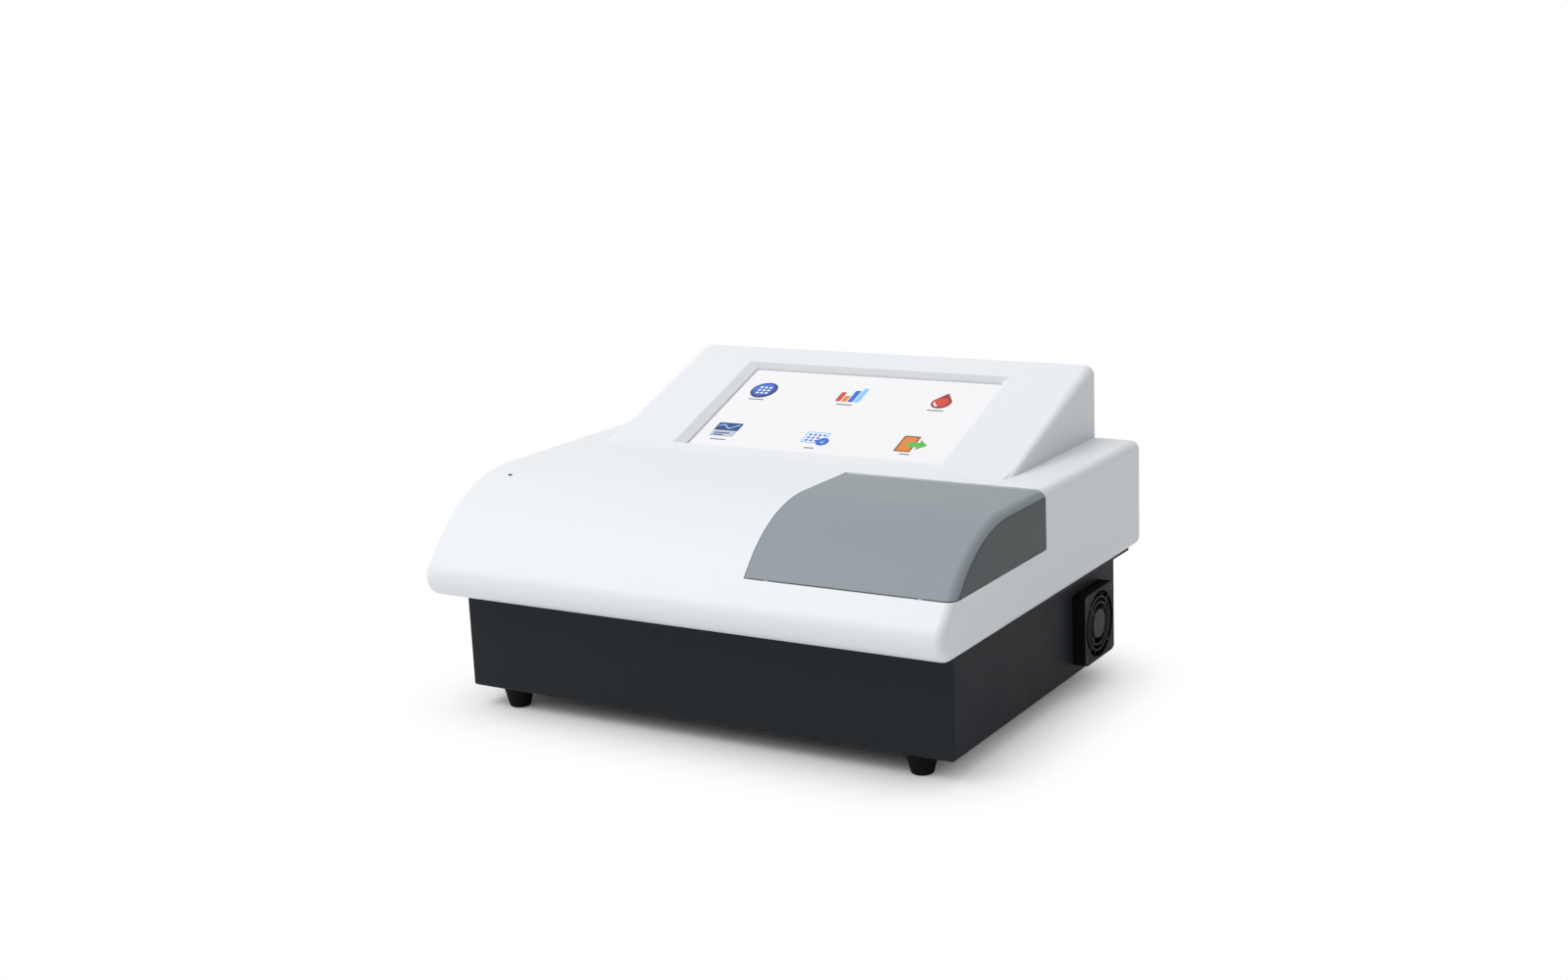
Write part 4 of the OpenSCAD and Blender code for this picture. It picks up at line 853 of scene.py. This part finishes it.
def build_guard():
    """Finger guard: the CAD piece's own frame with a wider disc, two thin rings and four spokes."""
    fan = look("fan")
    low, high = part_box("finger_guard")
    mid = (low + high) / 2
    bars_end = fan.guard_rings[1] + fan.guard_bar

    def place(x, y, z):
        return Vector((z, mid.y + x, mid.z + y))

    def from_axis(point):
        return Vector((point.y - mid.y, point.z - mid.z)).length

    bm = welded("finger_guard")
    opening = min(r for r in (from_axis(v.co) for v in bm.verts) if r > bars_end)
    rim = add_object("guard_frame", take_mesh("guard_frame", bm))
    bm = bmesh.new()
    cut = opening - 0.05 * MM
    lathe(bm, [(0, low.x - MM), (cut, low.x - MM), (cut, high.x + MM), (0, high.x + MM)], 96, place)
    cutter = add_object("guard_cutter", take_mesh("guard_cutter", bm))
    trim = rim.modifiers.new("Opening", "BOOLEAN")
    trim.object = cutter
    trim.solver = "EXACT"
    plain(rim)
    bpy.data.objects.remove(cutter)
    bm = bmesh.new()
    bm.from_mesh(rim.data)
    bpy.data.objects.remove(rim)
    disc, soft, half = fan.guard_hub, 0.3 * MM, fan.guard_bar / 2
    x0, x1 = low.x, high.x
    lathe(bm, [(0, x0), (disc - soft, x0), (disc, x0 + soft), (disc, x1 - 2 * soft),
               (disc - soft * 0.6, x1 - soft * 0.6), (disc - 2 * soft, x1), (0, x1)], 64, place)
    for r in fan.guard_rings:
        profile = [(r + half * 0.6, x0), (r + half, x0 + soft), (r + half, x1 - soft), (r + half * 0.5, x1),
                   (r - half * 0.5, x1), (r - half, x1 - soft), (r - half, x0 + soft), (r - half * 0.6, x0)]
        lathe(bm, profile + profile[:1], 72, place)
    shoulder, crest = x1 - 0.55 * MM, x1 - 0.25 * MM
    spoke = [(-half, x0), (half, x0), (half, shoulder), (half * 0.5, crest), (-half * 0.5, crest),
             (-half, shoulder)]
    for turn in (45, 135, 225, 315):
        c, n = math.cos(math.radians(turn)), math.sin(math.radians(turn))
        prism(bm, spoke, disc - 0.5 * MM, opening + 0.3 * MM,
              lambda a, x, r: place(r * c - a * n, r * n + a * c, x))
    bmesh.ops.remove_doubles(bm, verts=bm.verts, dist=TINY)
    bmesh.ops.recalc_face_normals(bm, faces=bm.faces)
    guard = mesh_piece("guard_rings", bm, "fan_plastic", nodes=["finger_guard"])
    # The disc, rings and spokes get the lighter grey: the disc's own tone, and a painted highlight on the
    # rings and spokes
    guard.data.materials.append(_materials["guard_grey_and_highlight"])
    for face in guard.data.polygons:
        if from_axis(face.center) < bars_end:
            face.material_index = 1


# Toothed belt

def belt_tree():
    """A flat band along a closed path, with teeth set out along its inner side."""
    tree, start, end = new_group("Toothed belt", {
        "Geometry": ("Geometry", None), "Width": ("Float", 5 * MM), "Thickness": ("Float", 0.45 * MM),
        "Tooth Pitch": ("Float", 2 * MM), "Tooth Height": ("Float", 0.25 * MM),
        "Material": ("Material", None),
    }, {"Geometry": ("Geometry", None)}, "GeometryNodeTree")
    given = start.outputs
    path = node(tree, "GeometryNodeMeshToCurve", {"Mesh": given["Geometry"]})
    section = node(tree, "GeometryNodeCurvePrimitiveQuadrilateral", {
        "Width": given["Thickness"], "Height": given["Width"]})
    band = node(tree, "GeometryNodeCurveToMesh", {
        "Curve": path.outputs[0], "Profile Curve": section.outputs[0]})
    spots = node(tree, "GeometryNodeResampleCurve", {"Curve": path.outputs[0]}, mode="LENGTH")
    tree.links.new(given["Tooth Pitch"], [i for i in spots.inputs if i.name == "Length"][0])
    tangent = node(tree, "GeometryNodeInputTangent")
    aim = node(tree, "FunctionNodeAlignRotationToVector", {"Vector": tangent.outputs[0]},
               axis="X", pivot_axis="Z")
    tooth_length = math_node(tree, "MULTIPLY", given["Tooth Pitch"], 0.5)
    size = node(tree, "ShaderNodeCombineXYZ", {
        "X": tooth_length, "Y": given["Tooth Height"], "Z": given["Width"]})
    tooth = node(tree, "GeometryNodeMeshCube", {"Size": size.outputs[0]})
    reach = math_node(tree, "ADD", given["Thickness"], given["Tooth Height"])
    move = node(tree, "ShaderNodeCombineXYZ", {"Y": math_node(tree, "MULTIPLY", reach, 0.49)})
    shifted = node(tree, "GeometryNodeTransform", {
        "Geometry": tooth.outputs[0], "Translation": move.outputs[0]})
    teeth = node(tree, "GeometryNodeInstanceOnPoints", {
        "Points": spots.outputs[0], "Instance": shifted.outputs[0], "Rotation": aim.outputs[0]})
    joined = tree.nodes.new("GeometryNodeJoinGeometry")
    tree.links.new(teeth.outputs[0], joined.inputs[0])
    tree.links.new(band.outputs[0], joined.inputs[0])
    real = node(tree, "GeometryNodeRealizeInstances", {"Geometry": joined.outputs[0]})
    painted = node(tree, "GeometryNodeSetMaterial", {
        "Geometry": real.outputs[0], "Material": given["Material"]})
    tree.links.new(painted.outputs[0], end.inputs["Geometry"])
    return tree


def build_belt():
    """The belt along two half circles and the straights between them."""
    sizes = look("belt")
    low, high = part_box("drive_belt")
    thick, arc_steps = 0.4 * MM, 24
    cx, outer = (low.x + high.x) / 2, (high.x - low.x) / 2
    line = outer - thick / 2
    z = (low.z + high.z) / 2
    points = []
    for start, y in ((0, high.y - outer), (math.pi, low.y + outer)):
        points += [(cx + line * math.cos(a), y + line * math.sin(a), z)
                   for a in (start + math.pi * i / arc_steps for i in range(arc_steps + 1))]
    mesh = bpy.data.meshes.new("toothed_belt")
    mesh.from_pydata(points, [(i, (i + 1) % len(points)) for i in range(len(points))], [])
    piece = add_object("toothed_belt", mesh)
    grow(piece, belt_tree(), **{
        "Width": high.z - low.z, "Thickness": thick, "Tooth Pitch": sizes.pitch,
        "Tooth Height": sizes.tooth, "Material": _materials["foot_rubber"]})
    mount(piece, nodes=["drive_belt"])


# Operators, one for each group of pieces

class READER_OT_cover(Operator):
    """Moulded cover with its small edge radii"""

    bl_idname = "reader.cover"
    bl_label = "Build cover"

    def execute(self, context):
        refine("top_cover", "cover_moulding", "white_cover", look("cover").edge)
        refine("power_indicator", "status_lens", "fan_plastic", 0.15 * MM)
        return {"FINISHED"}


class READER_OT_lid(Operator):
    """Lift-up lid and its bumpers"""

    bl_idname = "reader.lid"
    bl_label = "Build lid"

    def execute(self, context):
        lid = refine("lid", "lid_moulding", "lid_grey", look("cover").edge, "lid_hood")
        # Painted shade: the lid's faces that point right, away from the key light, get the darker copy of
        # its material
        lid.data.materials.append(_materials["lid_painted_shade"])
        side = max(v.co.x for v in lid.data.vertices) - 0.6 * MM
        for face in lid.data.polygons:
            if face.normal.x > 0.8 and face.center.x > side:
                face.material_index = 1
        refine("lid_bumpers", "lid_stops", "foot_rubber", 0.2 * MM, material="seal_grey")
        give("rod_steel", "hinge_pins")
        return {"FINISHED"}


class READER_OT_screen(Operator):
    """Touch glass, its seal and the pictograms"""

    bl_idname = "reader.screen"
    bl_label = "Build screen"

    def execute(self, context):
        refine("touch_glass", "touch_panel", "screen_glass", 0.2 * MM)
        give("seal_grey", "screen_seal")
        build_pictograms()
        return {"FINISHED"}


class READER_OT_base(Operator):
    """Sheet-metal base, deck plate and feet"""

    bl_idname = "reader.base"
    bl_label = "Build base"

    def execute(self, context):
        edge = look("base").edge
        refine("base_chassis", "base_tray", "black_sheet", edge)
        refine("deck_plate", "deck_sheet", "black_sheet", edge)
        refine("feet", "rubber_feet", "foot_rubber", 0.5 * MM)
        return {"FINISHED"}


class READER_OT_fan(Operator):
    """Fan with its frame, finger guard, rotor and screws"""

    bl_idname = "reader.fan"
    bl_label = "Build fan"

    def execute(self, context):
        refine("fan_frame", "fan_housing", "fan_plastic", 0.15 * MM)
        build_guard()
        build_rotor()
        low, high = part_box("fan_screws")
        r, head = 2.5 * MM, 1.1 * MM
        points = [(high.x - head, y, z) for y in (low.y + r, high.y - r) for z in (low.z + r, high.z - r)]
        fasteners("fan_fixings", points, (1, 0, 0), (r, head, 1.2 * MM, 13 * MM, LOW_HEAD), "black_screw",
                  ["fan_screws"])
        return {"FINISHED"}


class READER_OT_rear(Operator):
    """Power inlet, switch and data ports on the rear"""

    bl_idname = "reader.rear"
    bl_label = "Build rear panel parts"

    def execute(self, context):
        refine("power_inlet", "inlet_body", "fan_plastic", 0.3 * MM)
        refine("inlet_pins", "inlet_blades", "screw_steel", 0.25 * MM)
        refine("switch_frame", "switch_bezel", "fan_plastic", 0.25 * MM)
        refine("power_rocker", "rocker_cap", "fan_plastic", 0.3 * MM, "rocker")
        refine("data_ports", "port_shells", "screw_steel", 0.15 * MM)
        return {"FINISHED"}


class READER_OT_carrier(Operator):
    """Plate carrier with its slide, drive and bay"""

    bl_idname = "reader.carrier"
    bl_label = "Build plate carrier"

    def execute(self, context):
        refine("bay_liner", "bay_tub", "liner_black", 0.3 * MM)
        refine("plate_carrier", "carrier_tray", "alloy", 0.3 * MM, "carrier")
        refine("belt_clamp", "clamp_block", "alloy", 0.15 * MM, "carrier")
        refine("rod_mounts", "rod_blocks", "liner_black", 0.4 * MM)
        give("bush_bronze", "slide_bushes")
        give("rod_steel", "guide_rods", "motor_shaft", "idler_post", "plate_spring", "clamp_screws")
        give("alloy", "sensor_flag", "drive_pulley", "idler_pulley")
        give("fan_plastic", "home_sensor")
        give("motor_black", "carriage_motor")
        build_belt()
        return {"FINISHED"}


class READER_OT_optics(Operator):
    """Lens block, light guides, filter wheel, lamp and detector"""

    bl_idname = "reader.optics"
    bl_label = "Build optics"

    def execute(self, context):
        give("alloy_x", "optics_bridge", "lamp_housing")
        give("alloy", "wheel_bracket")
        give("fan_plastic", "lens_block", "guide_coupler", "detector_block")
        give("clear_glass", "lenses", "lamp")
        give("guide_plastic", "light_guides")
        give("motor_black", "wheel_motor", "filter_wheel")
        give("filter_glass", "filter_discs")
        give("rod_steel", "wheel_shaft")
        return {"FINISHED"}


class READER_OT_electronics(Operator):
    """Boards, display module and power supply"""

    bl_idname = "reader.electronics"
    bl_label = "Build electronics"

    def execute(self, context):
        give("board_green", "main_board", "display_board", "indicator_board", "detector_board")
        give("chip_black", "board_parts")
        give("panel_metal", "display_panel", "display_frame")
        give("alloy_x", "power_supply", "board_standoffs")
        return {"FINISHED"}


class READER_OT_fixings(Operator):
    """Screws of the case, feet and display"""

    bl_idname = "reader.fixings"
    bl_label = "Build screws"

    def execute(self, context):
        screws_of("case_screws", "cover_fixings", (0, 0, -1), 1.9 * MM, 0.45)
        screws_of("case_screws", "inlet_fixings", (0, 1, 0), 1.5 * MM, 0.5)
        screws_of("foot_screws", "foot_fixings", (0, 0, -1), 2.5 * MM, 0.5)
        give("screw_steel", "display_screws")
        return {"FINISHED"}


class READER_OT_stage(Operator):
    """Floor, light, surroundings and camera"""

    bl_idname = "reader.stage"
    bl_label = "Build stage"

    def execute(self, context):
        build_floor()
        build_light()
        build_camera()
        return {"FINISHED"}


def build_floor():
    """A plain floor that keeps the shadow and turns white to the camera away from the object."""
    mesh = bpy.data.meshes.new("floor")
    corners = [(x * FLOOR_HALF, y * FLOOR_HALF, FLOOR_Z) for x, y in ((-1, -1), (1, -1), (1, 1), (-1, 1))]
    mesh.from_pydata(corners, [], [(0, 1, 2, 3)])
    add_object("floor", mesh)
    mat = bpy.data.materials.new("floor")
    mat.use_nodes = True
    tree = mat.node_tree
    principled = tree.nodes["Principled BSDF"]
    principled.inputs["Base Color"].default_value = (*look("stage").floor_color, 1)
    principled.inputs["Roughness"].default_value = 0.75
    principled.inputs["Specular IOR Level"].default_value = 0.2
    glow = node(tree, "ShaderNodeEmission", Strength=1.0, Color=(1, 1, 1, 1))
    reach = object_place(tree)
    for operation, value in (("ADD", FADE_SHIFT), ("ABSOLUTE", None), ("SUBTRACT", FADE_HALF),
                             ("MAXIMUM", (0, 0, 0)), ("LENGTH", None)):
        step = node(tree, "ShaderNodeVectorMath", {0: reach}, operation=operation)
        if value:
            step.inputs[1].default_value = value
        reach = step.outputs["Value" if operation == "LENGTH" else "Vector"]
    fade = node(tree, "ShaderNodeMapRange", {"Value": reach}, interpolation_type="SMOOTHSTEP",
                From_Min=0.0, From_Max=FADE_REACH)
    seen = tree.nodes.new("ShaderNodeLightPath").outputs["Is Camera Ray"]
    mix = node(tree, "ShaderNodeMixShader", {
        0: math_node(tree, "MULTIPLY", fade.outputs[0], seen), 1: principled.outputs[0], 2: glow.outputs[0]})
    under = tree.nodes.new("ShaderNodeNewGeometry").outputs["Backfacing"]
    clear = node(tree, "ShaderNodeMixShader", {
        0: under, 1: mix.outputs[0], 2: tree.nodes.new("ShaderNodeBsdfTransparent").outputs[0]})
    tree.links.new(clear.outputs[0], tree.nodes["Material Output"].inputs["Surface"])
    mesh.materials.append(mat)


def build_light():
    """A soft main light from the upper left and surroundings that are dimmer to the right."""
    stage = look("stage")
    for name, place, size, power in (("key_light", (-0.95, -1.2, 2.05), 1.7, stage.key),
                                     ("top_light", (0.35, 0.05, 2.4), 1.5, stage.top)):
        lamp = bpy.data.lights.new(name, "AREA")
        lamp.shape = "DISK"
        lamp.size = size
        lamp.energy = power
        holder = add_object(name, lamp)
        holder.location = place
        holder.rotation_euler = (Vector((0, 0, 0.1)) - holder.location).to_track_quat("-Z", "Y").to_euler()
    world = bpy.data.worlds.new("surroundings")
    bpy.context.scene.world = world
    world.use_nodes = True
    tree = world.node_tree
    background = tree.nodes["Background"]
    toward = tree.nodes.new("ShaderNodeTexCoord").outputs["Generated"]
    split = node(tree, "ShaderNodeSeparateXYZ", {"Vector": toward})
    across, back, over = (split.outputs[axis] for axis in "XYZ")
    dim = math_node(tree, "MULTIPLY_ADD", across, SKY_RIGHT, SKY_LEVEL)
    dim = math_node(tree, "MULTIPLY_ADD", over, SKY_UP, dim)
    soft = math_node(tree, "MULTIPLY", dim, stage.ambient)
    gloss = math_node(tree, "ADD", math_node(tree, "MULTIPLY_ADD", back, GLOSS_BACK, GLOSS_LEVEL),
                      math_node(tree, "MULTIPLY", across, GLOSS_RIGHT))
    gloss = math_node(tree, "MINIMUM", math_node(tree, "MAXIMUM", gloss, GLOSS_LEAST), GLOSS_MOST)
    path = tree.nodes.new("ShaderNodeLightPath")

    def choose(fac, value, other):
        mix = tree.nodes.new("ShaderNodeMix")
        for source, socket in ((fac, 0), (other, 2), (value, 3)):
            feed(tree, source, mix.inputs[socket])
        return mix.outputs[0]

    level = choose(path.outputs["Is Glossy Ray"], gloss, soft)
    shown = math_node(tree, "MAXIMUM", path.outputs["Is Camera Ray"], path.outputs["Is Transmission Ray"])
    level = choose(shown, 1.0, level)
    background.inputs["Color"].default_value = (1, 1, 1, 1)
    tree.links.new(level, background.inputs["Strength"])


def build_camera():
    """The photo's own viewpoint."""
    forward = Vector((-math.sin(CAMERA_YAW) * math.cos(CAMERA_PITCH),
                      math.cos(CAMERA_YAW) * math.cos(CAMERA_PITCH), -math.sin(CAMERA_PITCH)))
    right = Vector((math.cos(CAMERA_YAW), math.sin(CAMERA_YAW), 0))
    up = right.cross(forward)
    side = right * math.cos(CAMERA_ROLL) + up * math.sin(CAMERA_ROLL)
    top = up * math.cos(CAMERA_ROLL) - right * math.sin(CAMERA_ROLL)
    camera = bpy.data.cameras.new("camera")
    camera.lens = CAMERA_LENS
    camera.sensor_width = CAMERA_FILM
    camera.clip_start, camera.clip_end = 0.01, 50
    turn = Matrix((side, top, -forward)).transposed().to_4x4()
    holder = add_object("camera", camera)
    holder.matrix_world = Matrix.Translation(CAMERA_AT) @ turn
    bpy.context.scene.camera = holder


OPERATORS = [
    READER_OT_cover, READER_OT_lid, READER_OT_screen, READER_OT_base, READER_OT_fan, READER_OT_rear,
    READER_OT_carrier, READER_OT_optics, READER_OT_electronics, READER_OT_fixings, READER_OT_stage,
]


class READER_PT_panel(Panel):
    """Lists the steps that build the reader"""

    bl_label = "Reader"
    bl_idname = "READER_PT_panel"
    bl_space_type = "VIEW_3D"
    bl_region_type = "UI"
    bl_category = "Reader"

    def draw(self, context):
        for step in OPERATORS:
            self.layout.operator(step.bl_idname)
        for name, group in LOOKS.items():
            box = self.layout.box()
            box.label(text=group.__name__)
            values = getattr(context.scene, "reader_" + name)
            for field in group.__annotations__:
                box.prop(values, field)


def register():
    for cls in [*LOOKS.values(), *OPERATORS, READER_PT_panel]:
        bpy.utils.register_class(cls)
    for name, group in LOOKS.items():
        setattr(bpy.types.Scene, "reader_" + name, PointerProperty(type=group))


def unregister():
    for name in LOOKS:
        delattr(bpy.types.Scene, "reader_" + name)
    for cls in reversed([*LOOKS.values(), *OPERATORS, READER_PT_panel]):
        bpy.utils.unregister_class(cls)


def main():
    """Build everything in order."""
    register()
    bpy.context.scene.view_settings.view_transform = "Standard"
    materials()
    for step in OPERATORS:
        group, name = step.bl_idname.split(".")
        getattr(getattr(bpy.ops, group), name)()


if __name__ == "__main__":
    main()
